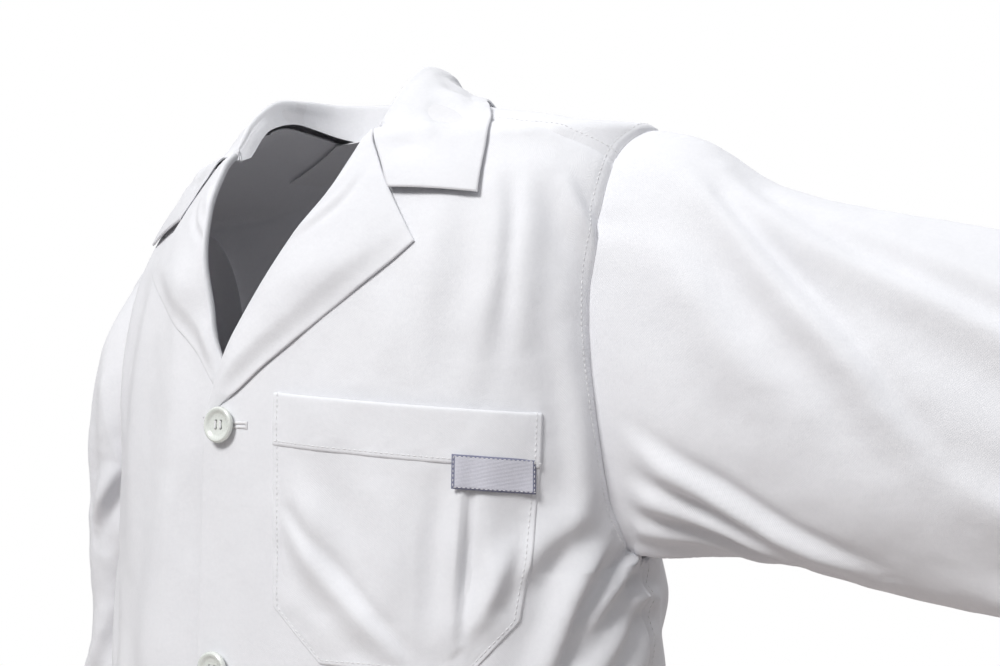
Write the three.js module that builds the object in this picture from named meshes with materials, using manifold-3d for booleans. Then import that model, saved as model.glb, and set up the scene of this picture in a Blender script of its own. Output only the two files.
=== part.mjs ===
// Laboratory coat, worn shape: left sleeve held out to the side, right sleeve hanging.
// Millimetres. +Z up, the front faces -Y, the wearer's left is +X.
// The origin is between the wearer's shoulders, level with the sides of the neck.

import * as THREE from 'three';
import { mergeVertices } from 'three/addons/utils/BufferGeometryUtils.js';
import Module from 'manifold-3d';

const wasm = await Module();
wasm.setup();

// cloth
const panelThick = 2;
const trimThick = 1.6;
const layerGap = 0.3;
const looseGap = 1.2;
const lapelGap = 2.4;
const seamGap = 0.3;

// torso
const hemZ = -985;
const armpitZ = -284;
const shoulderTipZ = -42;
const neckHalfWidth = 66;
const backNeckZ = -16;
const buttonX = -4;
const frontOverlap = 22;
const breakZ = -202;
const neckLean = 10;
const leftShoulderLift = 8;
const rightShoulderDrop = -12;
const raisedSideWidth = 8;
const rightTurnedBack = 60;
const shoulderX = 216;

// fastening
const buttonCount = 5;
const buttonPitch = 142;
const topButtonZ = -206;
const buttonRadius = 10.8;
const buttonThick = 4;
const buttonDish = 2.2;
const buttonholeLength = 22;
const buttonholeHeight = 4.8;
const buttonholeStart = -3.4;
const buttonSides = 16;
const shankRadius = 1.8;
const padRadius = 3.9;
const threadSpread = 2;
const threadHoleRadius = 1.1;
const threadRadius = 0.6;
const buttonStandOff = 3.6;

// pockets
const pocketGap = 2.6;
const pocketHem = 30;
const hipPocketTopZ = -560;
const hipPocketBottomZ = -770;
const labelSize = [42, 0.8, 18];
const labelPlace = { x: 162, z: -232 };

// collar and hanger loop
const collarBulge = 7;
const standInset = 3.2;
const loopHalfWidth = 34;
const loopTopZ = -30;
const loopWidth = 8;
const loopStandOff = 8.3;
const loopBow = 13;

// armhole and sleeves
const armholeHalfHeight = 121;
const armholeFrontDepth = 50;
const armholeBackDepth = 58;
const sleeveSides = 20;
const sleeveStandOff = panelThick + 2 * looseGap;
const leftSleeveDip = THREE.MathUtils.degToRad(12);
const cuffHem = 25;

// rings of the torso: height, half width, depth in front, depth behind, squareness
const torsoRings = [
  [hemZ, 246, 160, 160, 2.2],
  [-620, 224, 134, 134, 2.5],
  [-420, 210, 118, 116, 2.7],
  [armpitZ, 207, 114, 110, 2.8],
  [-220, 206, 113, 110, 2.8],
  [-160, 206, 109, 108, 2.8],
  [-110, 210, 103, 104, 2.5],
  [-70, 215, 93, 96, 2.0],
  [shoulderTipZ, shoulderX, 80, 86, 1.65],
  [-28, 166, 66, 78, 1.7],
  [-14, 116, 50, 66, 1.8],
  [0, neckHalfWidth, 30, 50, 2.0],
];

// roll line of a front from its break up to the neck, as x and height
const rollLine = [
  [-frontOverlap, breakZ], [-2, -160], [14, -131], [34, -98], [54, -66], [64, -28], [neckHalfWidth, 0],
];
const rightRollLine = [
  [-frontOverlap, breakZ], [-2, -185], [9, -167], [16, -155], [27, -130], [42, -92], [53, -62], [64, -28],
  [neckHalfWidth, 0],
];
const gorgeOnRoll = [61, -33];
const lapelEdge = [
  [-frontOverlap + 8, breakZ + 3], [4, -188], [24, -172], [49, -154], [93, -121], [113, -105],
];

// the right lapel goes under the left front here
const underlapStart = [18, -152];
const underlapEdge = [36, -165];

function clamp01(value) {
  return Math.min(1, Math.max(0, value));
}

function smooth(low, high, value) {
  const t = clamp01((value - low) / (high - low));
  return t * t * (3 - 2 * t);
}

function mix(a, b, t) {
  return a + (b - a) * t;
}

// point at fraction t of a polyline of equal-length lists of numbers
function along(line, t) {
  const lengths = [0];
  for (let i = 1; i < line.length; i += 1) {
    lengths.push(lengths[i - 1] + Math.hypot(...line[i].map((value, k) => value - line[i - 1][k])));
  }
  const target = clamp01(t) * lengths[lengths.length - 1];
  let i = 1;
  while (i < line.length - 1 && lengths[i] < target) {
    i += 1;
  }
  const local = (target - lengths[i - 1]) / (lengths[i] - lengths[i - 1]);
  return line[i].map((value, k) => mix(line[i - 1][k], value, local));
}

// x of a polyline of [x, height] at a height
function xAtHeight(line, z) {
  let i = 1;
  while (i < line.length - 1 && line[i][1] < z) {
    i += 1;
  }
  const [x0, z0] = line[i - 1];
  const [x1, z1] = line[i];
  return mix(x0, x1, clamp01((z - z0) / (z1 - z0)));
}

function ringAt(z) {
  let i = 1;
  while (i < torsoRings.length - 1 && torsoRings[i][0] < z) {
    i += 1;
  }
  const low = torsoRings[i - 1];
  const high = torsoRings[i];
  const t = clamp01((z - low[0]) / (high[0] - low[0]));
  const [, halfWidth, front, back, power] = low.map((value, k) => mix(value, high[k], t));
  return { halfWidth, front, back, power };
}

// The coat hangs a little out of true, because one arm is held out.
function hang(point) {
  const reach = Math.min(1, Math.abs(point.x) / shoulderX);
  const lift = point.x > 0 ? leftShoulderLift : rightShoulderDrop;
  const turned = point.x > 0 ? 0 : rightTurnedBack * reach ** 1.3;
  const pulled = point.x > 0 ? smooth(-60, -200, point.z) * smooth(-700, -320, point.z) : 0;
  return new THREE.Vector3(
    point.x + neckLean * smooth(topButtonZ, 0, point.z) + raisedSideWidth * pulled * reach,
    point.y + turned,
    point.z + lift * reach * reach * smooth(-300, -60, point.z),
  );
}

// angle 0 is the wearer's left side, 180 degrees the right; facing is -1 in front, 1 behind
function torsoPoint(angle, z, facing) {
  const ring = ringAt(z);
  const depth = facing < 0 ? ring.front : ring.back;
  const across = Math.cos(angle);
  const away = Math.abs(Math.sin(angle));
  const reach = (Math.abs(across) / ring.halfWidth) ** ring.power + (away / depth) ** ring.power;
  const radius = reach ** (-1 / ring.power);
  return hang(new THREE.Vector3(radius * across, facing * radius * away, z));
}

function rest(value, extent, power) {
  return (1 - clamp01(Math.abs(value) / extent) ** power) ** (1 / power);
}

function angleFromX(x, z, facing) {
  const ring = ringAt(z);
  const depth = facing < 0 ? ring.front : ring.back;
  return Math.atan2(depth * rest(x, ring.halfWidth, ring.power), x);
}

function angleFromY(y, z, side) {
  const ring = ringAt(z);
  const depth = y < 0 ? ring.front : ring.back;
  return Math.atan2(Math.abs(y), side * ring.halfWidth * rest(y, depth, ring.power));
}

function torsoAt(x, z, facing) {
  return torsoPoint(angleFromX(x, z, facing), z, facing);
}

// how far outside the torso a point lies, as a rough fraction, before it hangs
function outside(point) {
  const ring = ringAt(point.z);
  const depth = point.y < 0 ? ring.front : ring.back;
  const across = (Math.abs(point.x) / ring.halfWidth) ** ring.power;
  const away = (Math.abs(point.y) / depth) ** ring.power;
  return (across + away) ** (1 / ring.power) - 1;
}

function clearOfTorso(point, clearance) {
  const step = 0.5;
  const moved = point.clone();
  for (let round = 0; round < 4; round += 1) {
    const slope = new THREE.Vector3(...['x', 'y', 'z'].map((axis) => {
      const shifted = moved.clone();
      shifted[axis] += step;
      return (outside(shifted) - outside(moved)) / step;
    }));
    const distance = outside(moved) / slope.length();
    if (distance < clearance) {
      moved.addScaledVector(slope.normalize(), clearance - distance);
    }
  }
  return moved;
}

// closed armhole edge; turn 0 is its front, a quarter turn its top
function armholeAt(turn, side) {
  const depth = Math.cos(turn) > 0 ? armholeFrontDepth : armholeBackDepth;
  const y = -depth * Math.cos(turn);
  const z = (armpitZ + shoulderTipZ) / 2 + armholeHalfHeight * Math.sin(turn);
  return { angle: angleFromY(y, z, side), z };
}

function closedGeometry(positions, indices) {
  const geometry = new THREE.BufferGeometry();
  geometry.setAttribute('position', new THREE.Float32BufferAttribute(positions, 3));
  geometry.setIndex(indices);
  return geometry;
}

function gridNormal(grid, i, j, wrap) {
  const rows = grid.length;
  const columns = grid[0].length;
  const before = wrap ? (j + columns - 1) % columns : Math.max(0, j - 1);
  const after = wrap ? (j + 1) % columns : Math.min(columns - 1, j + 1);
  const below = grid[Math.min(rows - 1, i + 1)][j];
  const down = new THREE.Vector3().subVectors(below, grid[Math.max(0, i - 1)][j]);
  const across = new THREE.Vector3().subVectors(grid[i][after], grid[i][before]);
  return across.cross(down).normalize();
}

// A closed slab of cloth between two offsets from a grid of points. Its layers are told apart by
// offset, which may be a number or a function of the point, and outward says which way is out.
function cloth(grid, low, high, outward, wrap = false) {
  const rows = grid.length;
  const columns = grid[0].length;
  const middle = Math.floor(rows / 2);
  const centre = Math.floor(columns / 2);
  const sample = gridNormal(grid, middle, wrap ? 0 : centre, wrap);
  const turn = sample.dot(outward(grid[middle][wrap ? 0 : centre])) < 0 ? -1 : 1;
  const positions = [];
  for (const offset of [low, high]) {
    for (let i = 0; i < rows; i += 1) {
      for (let j = 0; j < columns; j += 1) {
        const point = grid[i][j];
        const amount = typeof offset === 'function' ? offset(point) : offset;
        positions.push(...gridNormal(grid, i, j, wrap).multiplyScalar(turn * amount).add(point).toArray());
      }
    }
  }
  const layer = rows * columns;
  const indices = [];
  const quad = (a, b, c, d) => {
    const corners = turn > 0 ? [a, b, c, a, c, d] : [a, c, b, a, d, c];
    indices.push(...corners);
  };
  const lastColumn = wrap ? columns : columns - 1;
  for (let i = 0; i < rows - 1; i += 1) {
    for (let j = 0; j < lastColumn; j += 1) {
      const k = (j + 1) % columns;
      const [a, b, c, d] = [i * columns + j, i * columns + k, (i + 1) * columns + k, (i + 1) * columns + j];
      quad(layer + a, layer + b, layer + c, layer + d);
      quad(a, d, c, b);
    }
  }
  for (let j = 0; j < lastColumn; j += 1) {
    const k = (j + 1) % columns;
    const last = (rows - 1) * columns;
    quad(j, k, layer + k, layer + j);
    quad(last + k, last + j, layer + last + j, layer + last + k);
  }
  if (!wrap) {
    for (let i = 0; i < rows - 1; i += 1) {
      const [a, b] = [i * columns, (i + 1) * columns];
      const [c, d] = [a + columns - 1, b + columns - 1];
      quad(b, a, layer + a, layer + b);
      quad(c, d, layer + d, layer + c);
    }
  }
  return closedGeometry(positions, indices);
}

function toManifold(geometry) {
  const bare = geometry.clone();
  bare.deleteAttribute('normal');
  bare.deleteAttribute('uv');
  const merged = mergeVertices(bare, 1e-4);
  return new wasm.Manifold(new wasm.Mesh({
    numProp: 3,
    vertProperties: new Float32Array(merged.attributes.position.array),
    triVerts: new Uint32Array(merged.index.array),
  }));
}

function fromManifold(solid) {
  const mesh = solid.getMesh();
  return closedGeometry(Array.from(mesh.vertProperties), Array.from(mesh.triVerts));
}

function joined(geometries) {
  return fromManifold(geometries.map(toManifold).reduce((whole, next) => whole.add(next)));
}

function cut(geometry, cutters) {
  const whole = toManifold(geometry);
  return fromManifold(cutters.map(toManifold).reduce((rest, next) => rest.subtract(next), whole));
}

const materials = {
  cloth: new THREE.MeshStandardMaterial({ color: 0xeeeff2, roughness: 0.92, metalness: 0 }),
  button: new THREE.MeshStandardMaterial({ color: 0xe2e6e1, roughness: 0.35, metalness: 0 }),
  thread: new THREE.MeshStandardMaterial({ color: 0xf4f4f2, roughness: 0.8, metalness: 0 }),
  label: new THREE.MeshStandardMaterial({ color: 0x9a9db0, roughness: 0.85, metalness: 0 }),
};

const coat = new THREE.Group();

function addPart(name, geometry, material = materials.cloth) {
  const mesh = new THREE.Mesh(geometry, material);
  mesh.name = name;
  coat.add(mesh);
  return mesh;
}

const awayFromAxis = (point) => new THREE.Vector3(point.x, point.y, 0);

// Rows of a panel run from its inner edge to its outer one, as angles and heights on the torso.
const hemToArmpit = [hemZ, -850, -710, -570, -450, -360, armpitZ];
const upperRows = 8;
const panelColumns = 13;

function outerEdge(row, side, facing) {
  if (row < hemToArmpit.length) {
    return { angle: angleFromY(facing * seamGap, hemToArmpit[row], side), z: hemToArmpit[row] };
  }
  const t = (row - hemToArmpit.length + 1) / upperRows;
  const turn = facing < 0 ? mix(-Math.PI / 2, Math.PI / 2, t) : mix(1.5 * Math.PI, Math.PI / 2, t);
  const place = armholeAt(turn, side);
  return t === 1 ? { angle: angleFromY(facing * seamGap, place.z, side), z: place.z } : place;
}

const frontRise = [-240, breakZ, -165, -131, -98, -66, -30, 0];
const backNeck = [[seamGap, backNeckZ], [34, -11], [neckHalfWidth, 0]];
const backRise = [-245, -205, -165, -125, -85, -50, backNeckZ];

function frontEdge(row, side) {
  const z = row < hemToArmpit.length ? hemToArmpit[row] : frontRise[row - hemToArmpit.length];
  const x = z <= breakZ ? -frontOverlap : xAtHeight(side > 0 ? rollLine : rightRollLine, z);
  return { angle: z === 0 ? angleFromY(-seamGap, 0, side) : angleFromX(side * x, z, -1), z };
}

function backEdge(row, side) {
  if (row < hemToArmpit.length + backRise.length) {
    const z = row < hemToArmpit.length ? hemToArmpit[row] : backRise[row - hemToArmpit.length];
    return { angle: angleFromX(side * seamGap, z, 1), z };
  }
  return { angle: angleFromY(seamGap, 0, side), z: 0 };
}

function panelGrid(side, facing, columns) {
  const grid = [];
  for (let row = 0; row < hemToArmpit.length + upperRows; row += 1) {
    const inner = facing < 0 ? frontEdge(row, side) : backEdge(row, side);
    const outer = outerEdge(row, side, facing);
    const points = [];
    for (let j = 0; j <= columns; j += 1) {
      const t = j / columns;
      points.push(torsoPoint(mix(inner.angle, outer.angle, t), mix(inner.z, outer.z, t), facing));
    }
    grid.push(points);
  }
  return grid;
}

// The right front and its facing pass under the left front where they overlap.
const underlap = layerGap + trimThick + looseGap + panelThick;
const underlapTopZ = -142;

function sink(point) {
  const upward = point.z < underlapTopZ ? 1 : smooth(-100, underlapTopZ, point.z);
  return -underlap * smooth(-64, -36, point.x) * upward;
}

// a strip or patch laid on the torso, given by its left and right x at each height
function patchGrid(rows, facing, columns) {
  return rows.map(([z, xStart, xEnd, tilt = 0]) => {
    const points = [];
    for (let j = 0; j <= columns; j += 1) {
      points.push(torsoAt(mix(xStart, xEnd, j / columns), z + tilt * (j / columns), facing));
    }
    return points;
  });
}

const buttonholes = [];
const buttonPlaces = [];
for (let i = 0; i < buttonCount; i += 1) {
  const z = topButtonZ - i * buttonPitch;
  const place = torsoAt(buttonX, z, -1);
  const slope = new THREE.Vector3().subVectors(torsoAt(buttonX, z + 5, -1), torsoAt(buttonX, z - 5, -1));
  const normal = new THREE.Vector3(0, -slope.z, slope.y).normalize();
  buttonPlaces.push({ place, normal });
  const hole = new THREE.BoxGeometry(buttonholeLength, 16, buttonholeHeight);
  hole.translate(place.x + buttonholeStart + buttonholeLength / 2, place.y, place.z);
  buttonholes.push(hole);
}

function addFronts() {
  const leftGrid = panelGrid(1, -1, panelColumns);
  const rightGrid = panelGrid(-1, -1, panelColumns);
  addPart('left_front', cut(cloth(leftGrid, 0, panelThick, awayFromAxis), buttonholes));
  addPart('right_front', cloth(rightGrid, sink, (point) => sink(point) + panelThick, awayFromAxis));
  const edgeStrip = (grid) => grid.slice(0, hemToArmpit.length + 2).map((row) => row.slice(0, 4));
  const leftFacing = cloth(edgeStrip(leftGrid), -layerGap - trimThick, -layerGap, awayFromAxis);
  addPart('left_front_facing', cut(leftFacing, buttonholes));
  const below = (point) => sink(point) - layerGap;
  const rightFacing = cloth(edgeStrip(rightGrid), (point) => below(point) - trimThick, below, awayFromAxis);
  addPart('right_front_facing', rightFacing);
}

function addBacks() {
  const leftGrid = panelGrid(1, 1, panelColumns);
  const rightGrid = panelGrid(-1, 1, panelColumns);
  addPart('left_back', cloth(leftGrid, 0, panelThick, awayFromAxis));
  addPart('right_back', cloth(rightGrid, 0, panelThick, awayFromAxis));
  const neckRow = hemToArmpit.length + backRise.length - 1;
  const facingGrid = [];
  for (let row = neckRow - 2; row <= neckRow; row += 1) {
    facingGrid.push([...rightGrid[row].slice(0, 6).reverse(), ...leftGrid[row].slice(0, 6)]);
  }
  addPart('back_neck_facing', cloth(facingGrid, -layerGap - trimThick, -layerGap, awayFromAxis));
}

function addLapels() {
  const belowGorge = (line) => line.filter((point) => point[1] < gorgeOnRoll[1]).concat([gorgeOnRoll]);
  const rightRoll = [underlapStart, ...belowGorge(rightRollLine).slice(4)];
  const lapels = [
    ['left_lapel', 1, belowGorge(rollLine), lapelEdge],
    ['right_lapel', -1, rightRoll, [underlapEdge, ...lapelEdge.slice(3)]],
  ];
  for (const [name, side, rollSide, edgeSide] of lapels) {
    const grid = [];
    for (let i = 0; i <= 10; i += 1) {
      const inner = along(rollSide, i / 10);
      const outer = along(edgeSide, i / 10);
      const points = [];
      for (let j = 0; j <= 6; j += 1) {
        const t = j / 6;
        points.push(torsoAt(side * mix(inner[0], outer[0], t), mix(inner[1], outer[1], t), -1));
      }
      grid.push(points);
    }
    const lift = (point) => (side > 0 ? 0 : sink(point)) + panelThick + lapelGap;
    addPart(name, cloth(grid, lift, (point) => lift(point) + trimThick, awayFromAxis));
  }
}

// half of the collar, from the gorge in front to the middle of the back of the neck
const foldLine = [[64, -63, -24], [67, -46, 0], [66, -15, 20], [58, 26, 29], [36, 52, 27], [0, 63, 23]];
const standBase = [[58, -54, -29], [60, -32, -5], [60, 0, 4], [51, 29, -1], [28, 48, -7], [0, 56, -11]];
const leafNotch = [89, -84, -62];
const leafEdge = [[129, -86, -70], [122, -52, -26], [98, -4, -3], [88, 44, -8], [52, 84, -24], [0, 96, -30]];

function wholeRound(half) {
  const mirrored = half.slice(0, -1).map(([x, y, z]) => [-x, y, z]);
  return half.concat(mirrored.reverse());
}

function curveThrough(points) {
  const ends = wholeRound(points).map((p) => new THREE.Vector3(...p));
  return new THREE.CatmullRomCurve3(ends, false, 'centripetal');
}

function addCollar() {
  const steps = 24;
  const fold = curveThrough(foldLine).getPoints(steps);
  const base = curveThrough(standBase).getPoints(steps);
  const edge = curveThrough(leafEdge).getPoints(steps);
  const notch = new THREE.Vector3(...leafNotch);
  const farNotch = new THREE.Vector3(-leafNotch[0], leafNotch[1], leafNotch[2]);
  const across = 5;
  const leafClearance = panelThick + 2 * looseGap;
  const leafRow = (from, to, outward) => {
    const points = [];
    for (let j = 0; j <= across; j += 1) {
      const t = j / across;
      const lifted = outward.clone().multiplyScalar(collarBulge * Math.sin(Math.PI * t) ** 0.8);
      points.push(clearOfTorso(from.clone().lerp(to, t).add(lifted), leafClearance));
    }
    return points.map(hang);
  };
  const leaf = [];
  for (let i = 0; i <= steps; i += 1) {
    const outward = new THREE.Vector3(edge[i].x, edge[i].y, 45).normalize();
    leaf.push(leafRow(fold[i], edge[i], outward));
  }
  const forward = new THREE.Vector3(0, -0.3, 0);
  leaf.unshift(leafRow(fold[0].clone().add(new THREE.Vector3(0, -1, -2)), notch, forward));
  leaf.push(leafRow(fold[steps].clone().add(new THREE.Vector3(0, -1, -2)), farNotch, forward));
  const upward = (point) => new THREE.Vector3(point.x, point.y, 60);
  const under = trimThick - 0.4;
  addPart('under_collar', cloth(leaf, 0, under, upward));
  addPart('upper_collar', cloth(leaf, under + layerGap, under + layerGap + trimThick, upward));
  const stand = fold.map((top, i) => {
    const inward = new THREE.Vector3(-top.x, -top.y, 0).normalize().multiplyScalar(standInset);
    const points = [];
    for (let j = 0; j <= 3; j += 1) {
      points.push(hang(base[i].clone().lerp(top.clone().add(inward), j / 3)));
    }
    return points;
  });
  addPart('collar_stand', cloth(stand, 0, trimThick, awayFromAxis));
}

function addHangerLoop() {
  const grid = [];
  for (let i = 0; i <= 8; i += 1) {
    const x = mix(-loopHalfWidth, loopHalfWidth, i / 8);
    const bow = loopBow * Math.sin(Math.PI * i / 8);
    const wall = torsoAt(x, loopTopZ - loopWidth / 2, 1);
    const y = wall.y - loopStandOff - bow;
    const top = new THREE.Vector3(wall.x, y, loopTopZ);
    const bottom = new THREE.Vector3(wall.x, y, loopTopZ - loopWidth);
    grid.push([top, bottom]);
  }
  addPart('hanger_loop', cloth(grid, 0, trimThick, () => new THREE.Vector3(0, 1, 0)));
}

function addPocket(name, outline, side) {
  const rows = outline.map(([z, xStart, xEnd, tilt]) => [z, side * xStart, side * xEnd, tilt]);
  const base = panelThick + pocketGap;
  addPart(name, cloth(patchGrid(rows, -1, 6), base, base + trimThick, awayFromAxis));
  const [zTop, xStart, xEnd, tilt] = rows[rows.length - 1];
  const hemRows = [[zTop - pocketHem, xStart, xEnd, tilt], rows[rows.length - 1]];
  const hemBase = base + trimThick + 2 * layerGap;
  addPart(`${name}_hem`, cloth(patchGrid(hemRows, -1, 6), hemBase, hemBase + trimThick, awayFromAxis));
}

function addPockets() {
  addPocket('chest_pocket', [
    [-337, 68, 150], [-308, 36, 173], [-270, 35, 177, -7], [-229, 34, 180, -11], [-187, 33, 181, -13],
  ], 1);
  const hip = [
    [hipPocketBottomZ, 76, 182], [hipPocketBottomZ + 26, 52, 204], [-700, 51, 203],
    [-640, 50, 201], [hipPocketTopZ - pocketHem, 50, 199], [hipPocketTopZ, 50, 198],
  ];
  addPocket('left_hip_pocket', hip, 1);
  addPocket('right_hip_pocket', hip, -1);
}

function addLabel() {
  const { x, z } = labelPlace;
  const middle = torsoAt(x, z, -1);
  const tangent = new THREE.Vector3().subVectors(torsoAt(x + 4, z, -1), torsoAt(x - 4, z, -1)).normalize();
  const normal = new THREE.Vector3(tangent.y, -tangent.x, 0);
  const mesh = addPart('woven_label', new THREE.BoxGeometry(...labelSize), materials.label);
  const lift = panelThick + pocketGap + 2 * (trimThick + layerGap) + looseGap + labelSize[1] / 2;
  mesh.position.copy(middle).addScaledVector(normal, lift);
  mesh.rotation.z = Math.atan2(tangent.y, tangent.x);
}

// sleeve rings have the armhole's turns: 0 is the front, a quarter turn the top
function sectionRing(centre, up, depth) {
  const ring = [];
  for (let i = 0; i < sleeveSides; i += 1) {
    const turn = 2 * Math.PI * i / sleeveSides;
    const point = centre.clone().addScaledVector(up, Math.sin(turn));
    point.y -= depth * Math.cos(turn);
    ring.push(hang(point));
  }
  return ring;
}

function armholeRing(side) {
  const ring = [];
  for (let i = 0; i < sleeveSides; i += 1) {
    const { angle, z } = armholeAt(2 * Math.PI * i / sleeveSides, side);
    const point = torsoPoint(angle, z, Math.cos(2 * Math.PI * i / sleeveSides) > 0 ? -1 : 1);
    point.x += side * sleeveStandOff;
    ring.push(point);
  }
  return ring;
}

// distance from the armhole, half height, half depth
const leftSections = [
  [24, 112, 53], [60, 99, 55], [110, 95, 56], [170, 91, 55], [265, 84, 52],
  [305, 81, 50], [345, 78, 48], [385, 75, 46], [490, 68, 41], [600, 62, 34],
];

function leftRing([distance, halfHeight, depth]) {
  const centre = new THREE.Vector3(214, 0, (armpitZ + shoulderTipZ) / 2 - 3);
  const axis = new THREE.Vector3(Math.cos(leftSleeveDip), 0, -Math.sin(leftSleeveDip));
  const up = new THREE.Vector3(Math.sin(leftSleeveDip), 0, Math.cos(leftSleeveDip));
  return sectionRing(centre.addScaledVector(axis, distance), up.multiplyScalar(halfHeight), depth);
}

// outer x and height, inner x and height, half depth, how far behind the side
const rightSections = [
  [-238, -66, -213, -288, 62, 2], [-260, -106, -215, -294, 68, 8], [-275, -158, -216, -302, 72, 15],
  [-285, -225, -216, -316, 75, 23], [-293, -300, -216, -334, 76, 30], [-296, -350, -217, -350, 74, 33],
  [-297, -395, -218, -395, 73, 35], [-297, -428, -219, -428, 71, 35], [-297, -460, -220, -460, 69, 34],
  [-295, -545, -224, -545, 64, 28], [-291, -628, -228, -628, 57, 20],
];

function rightRing([outerX, outerZ, innerX, innerZ, depth, behind]) {
  const centre = new THREE.Vector3((outerX + innerX) / 2, behind, (outerZ + innerZ) / 2);
  const up = new THREE.Vector3((outerX - innerX) / 2, 0, (outerZ - innerZ) / 2);
  return sectionRing(centre, up, depth);
}

function shortened(rings, atStart, atEnd) {
  const trimmed = rings.map((ring) => ring.map((point) => point.clone()));
  const pull = (from, towards, amount) => from.forEach((point, i) => {
    const way = new THREE.Vector3().subVectors(towards[i], point);
    point.addScaledVector(way.normalize(), amount);
  });
  if (atStart) {
    pull(trimmed[0], rings[1], atStart);
  }
  if (atEnd) {
    pull(trimmed[trimmed.length - 1], rings[rings.length - 2], atEnd);
  }
  return trimmed;
}

function addSleeve(side, rings) {
  const prefix = side > 0 ? 'left' : 'right';
  const split = side > 0 ? [0, 4, 5, 8, 10] : [0, 5, 6, 9, 11];
  const names = ['sleeve_head', 'upper_sleeve', 'elbow', 'lower_sleeve'];
  names.forEach((name, k) => {
    const piece = rings.slice(split[k], split[k + 1] + 1);
    const middle = piece[Math.floor(piece.length / 2)];
    const centre = middle[0].clone().lerp(middle[sleeveSides / 2], 0.5);
    const outward = (point) => new THREE.Vector3().subVectors(point, centre);
    const start = k === 0 ? 0 : seamGap / 2;
    const end = k === names.length - 1 ? 0 : seamGap / 2;
    addPart(`${prefix}_${name}`, cloth(shortened(piece, start, end), 0, panelThick, outward, true));
  });
  const last = rings[rings.length - 1];
  const before = rings[rings.length - 2];
  const inner = last.map((point, i) => {
    const way = new THREE.Vector3().subVectors(before[i], point).normalize();
    return point.clone().addScaledVector(way, cuffHem);
  });
  const centre = last[0].clone().lerp(last[sleeveSides / 2], 0.5);
  const outward = (point) => new THREE.Vector3().subVectors(point, centre);
  addPart(`${prefix}_cuff_hem`, cloth([inner, last], -layerGap - trimThick, -layerGap, outward, true));
}

function buttonGeometry() {
  const rim = buttonRadius;
  const profile = [
    [0, 0], [rim - 2.4, 0], [rim, 1.5], [rim, 3], [rim - 1.6, buttonThick],
    [rim - 3.6, 3.4], [rim - 4.6, buttonDish], [0, buttonDish],
  ];
  const body = new THREE.LatheGeometry(profile.map(([r, h]) => new THREE.Vector2(r, h)), buttonSides);
  const holes = [];
  for (const x of [-1, 1]) {
    for (const z of [-1, 1]) {
      const hole = new THREE.CylinderGeometry(threadHoleRadius, threadHoleRadius, 3 * buttonThick, 6);
      hole.translate(threadSpread * x, 0, threadSpread * z);
      holes.push(hole);
    }
  }
  return cut(body, holes);
}

function threadGeometry() {
  const padThick = 0.8;
  const padLevel = -layerGap - padThick / 2;
  const shankStart = layerGap - underlap + panelThick - buttonStandOff;
  const shank = new THREE.CylinderGeometry(shankRadius, shankRadius, padLevel - shankStart, 8);
  shank.translate(0, (padLevel + shankStart) / 2, 0);
  const pad = new THREE.CylinderGeometry(padRadius, padRadius, padThick, 8);
  pad.translate(0, padLevel, 0);
  const pieces = [shank, pad];
  const barLevel = buttonDish + layerGap + padThick / 2;
  for (const x of [-1, 1]) {
    const bar = new THREE.BoxGeometry(2 * threadRadius, padThick, 2 * (threadSpread + threadRadius));
    bar.translate(threadSpread * x, barLevel, 0);
    pieces.push(bar);
    for (const z of [-1, 1]) {
      const leg = new THREE.CylinderGeometry(threadRadius, threadRadius, barLevel - padLevel, 5);
      leg.translate(threadSpread * x, (barLevel + padLevel) / 2, threadSpread * z);
      pieces.push(leg);
    }
  }
  return joined(pieces);
}

function addButtons() {
  const up = new THREE.Vector3(0, 1, 0);
  buttonPlaces.forEach(({ place, normal }, i) => {
    const pieces = [
      addPart(`button_${i + 1}`, buttonGeometry(), materials.button),
      addPart(`button_thread_${i + 1}`, threadGeometry(), materials.thread),
    ];
    for (const mesh of pieces) {
      mesh.position.copy(place).addScaledVector(normal, buttonStandOff);
      mesh.quaternion.setFromUnitVectors(up, normal);
    }
  });
}

addFronts();
addBacks();
addLapels();
addCollar();
addHangerLoop();
addPockets();
addLabel();
addSleeve(1, [armholeRing(1), ...leftSections.map(leftRing)]);
addSleeve(-1, [armholeRing(-1), ...rightSections.map(rightRing)]);
addButtons();

export default coat;
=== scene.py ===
import math
import bmesh
import bpy
import numpy as np
from mathutils import Matrix, Vector


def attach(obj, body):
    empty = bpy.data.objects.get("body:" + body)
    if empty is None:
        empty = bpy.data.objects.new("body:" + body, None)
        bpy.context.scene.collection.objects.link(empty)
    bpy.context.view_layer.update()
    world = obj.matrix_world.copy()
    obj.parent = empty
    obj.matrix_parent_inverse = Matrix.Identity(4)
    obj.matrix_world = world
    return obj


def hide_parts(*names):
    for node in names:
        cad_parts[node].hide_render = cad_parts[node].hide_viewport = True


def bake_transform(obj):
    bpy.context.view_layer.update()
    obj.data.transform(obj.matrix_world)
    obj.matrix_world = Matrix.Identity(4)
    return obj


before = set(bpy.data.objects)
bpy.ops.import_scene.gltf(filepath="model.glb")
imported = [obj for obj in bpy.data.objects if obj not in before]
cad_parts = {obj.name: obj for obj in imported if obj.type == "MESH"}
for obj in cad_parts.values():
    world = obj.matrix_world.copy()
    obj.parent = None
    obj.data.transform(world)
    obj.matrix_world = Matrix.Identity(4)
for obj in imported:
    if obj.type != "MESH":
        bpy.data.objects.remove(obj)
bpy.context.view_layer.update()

# Shapes are worked out in millimetres and written to the meshes in metres.
mm = 0.001
clothThick = 0.9
clothOff = 2.0  # how far the cloth lies from the smooth torso
stitchLift = 0.12

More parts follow.
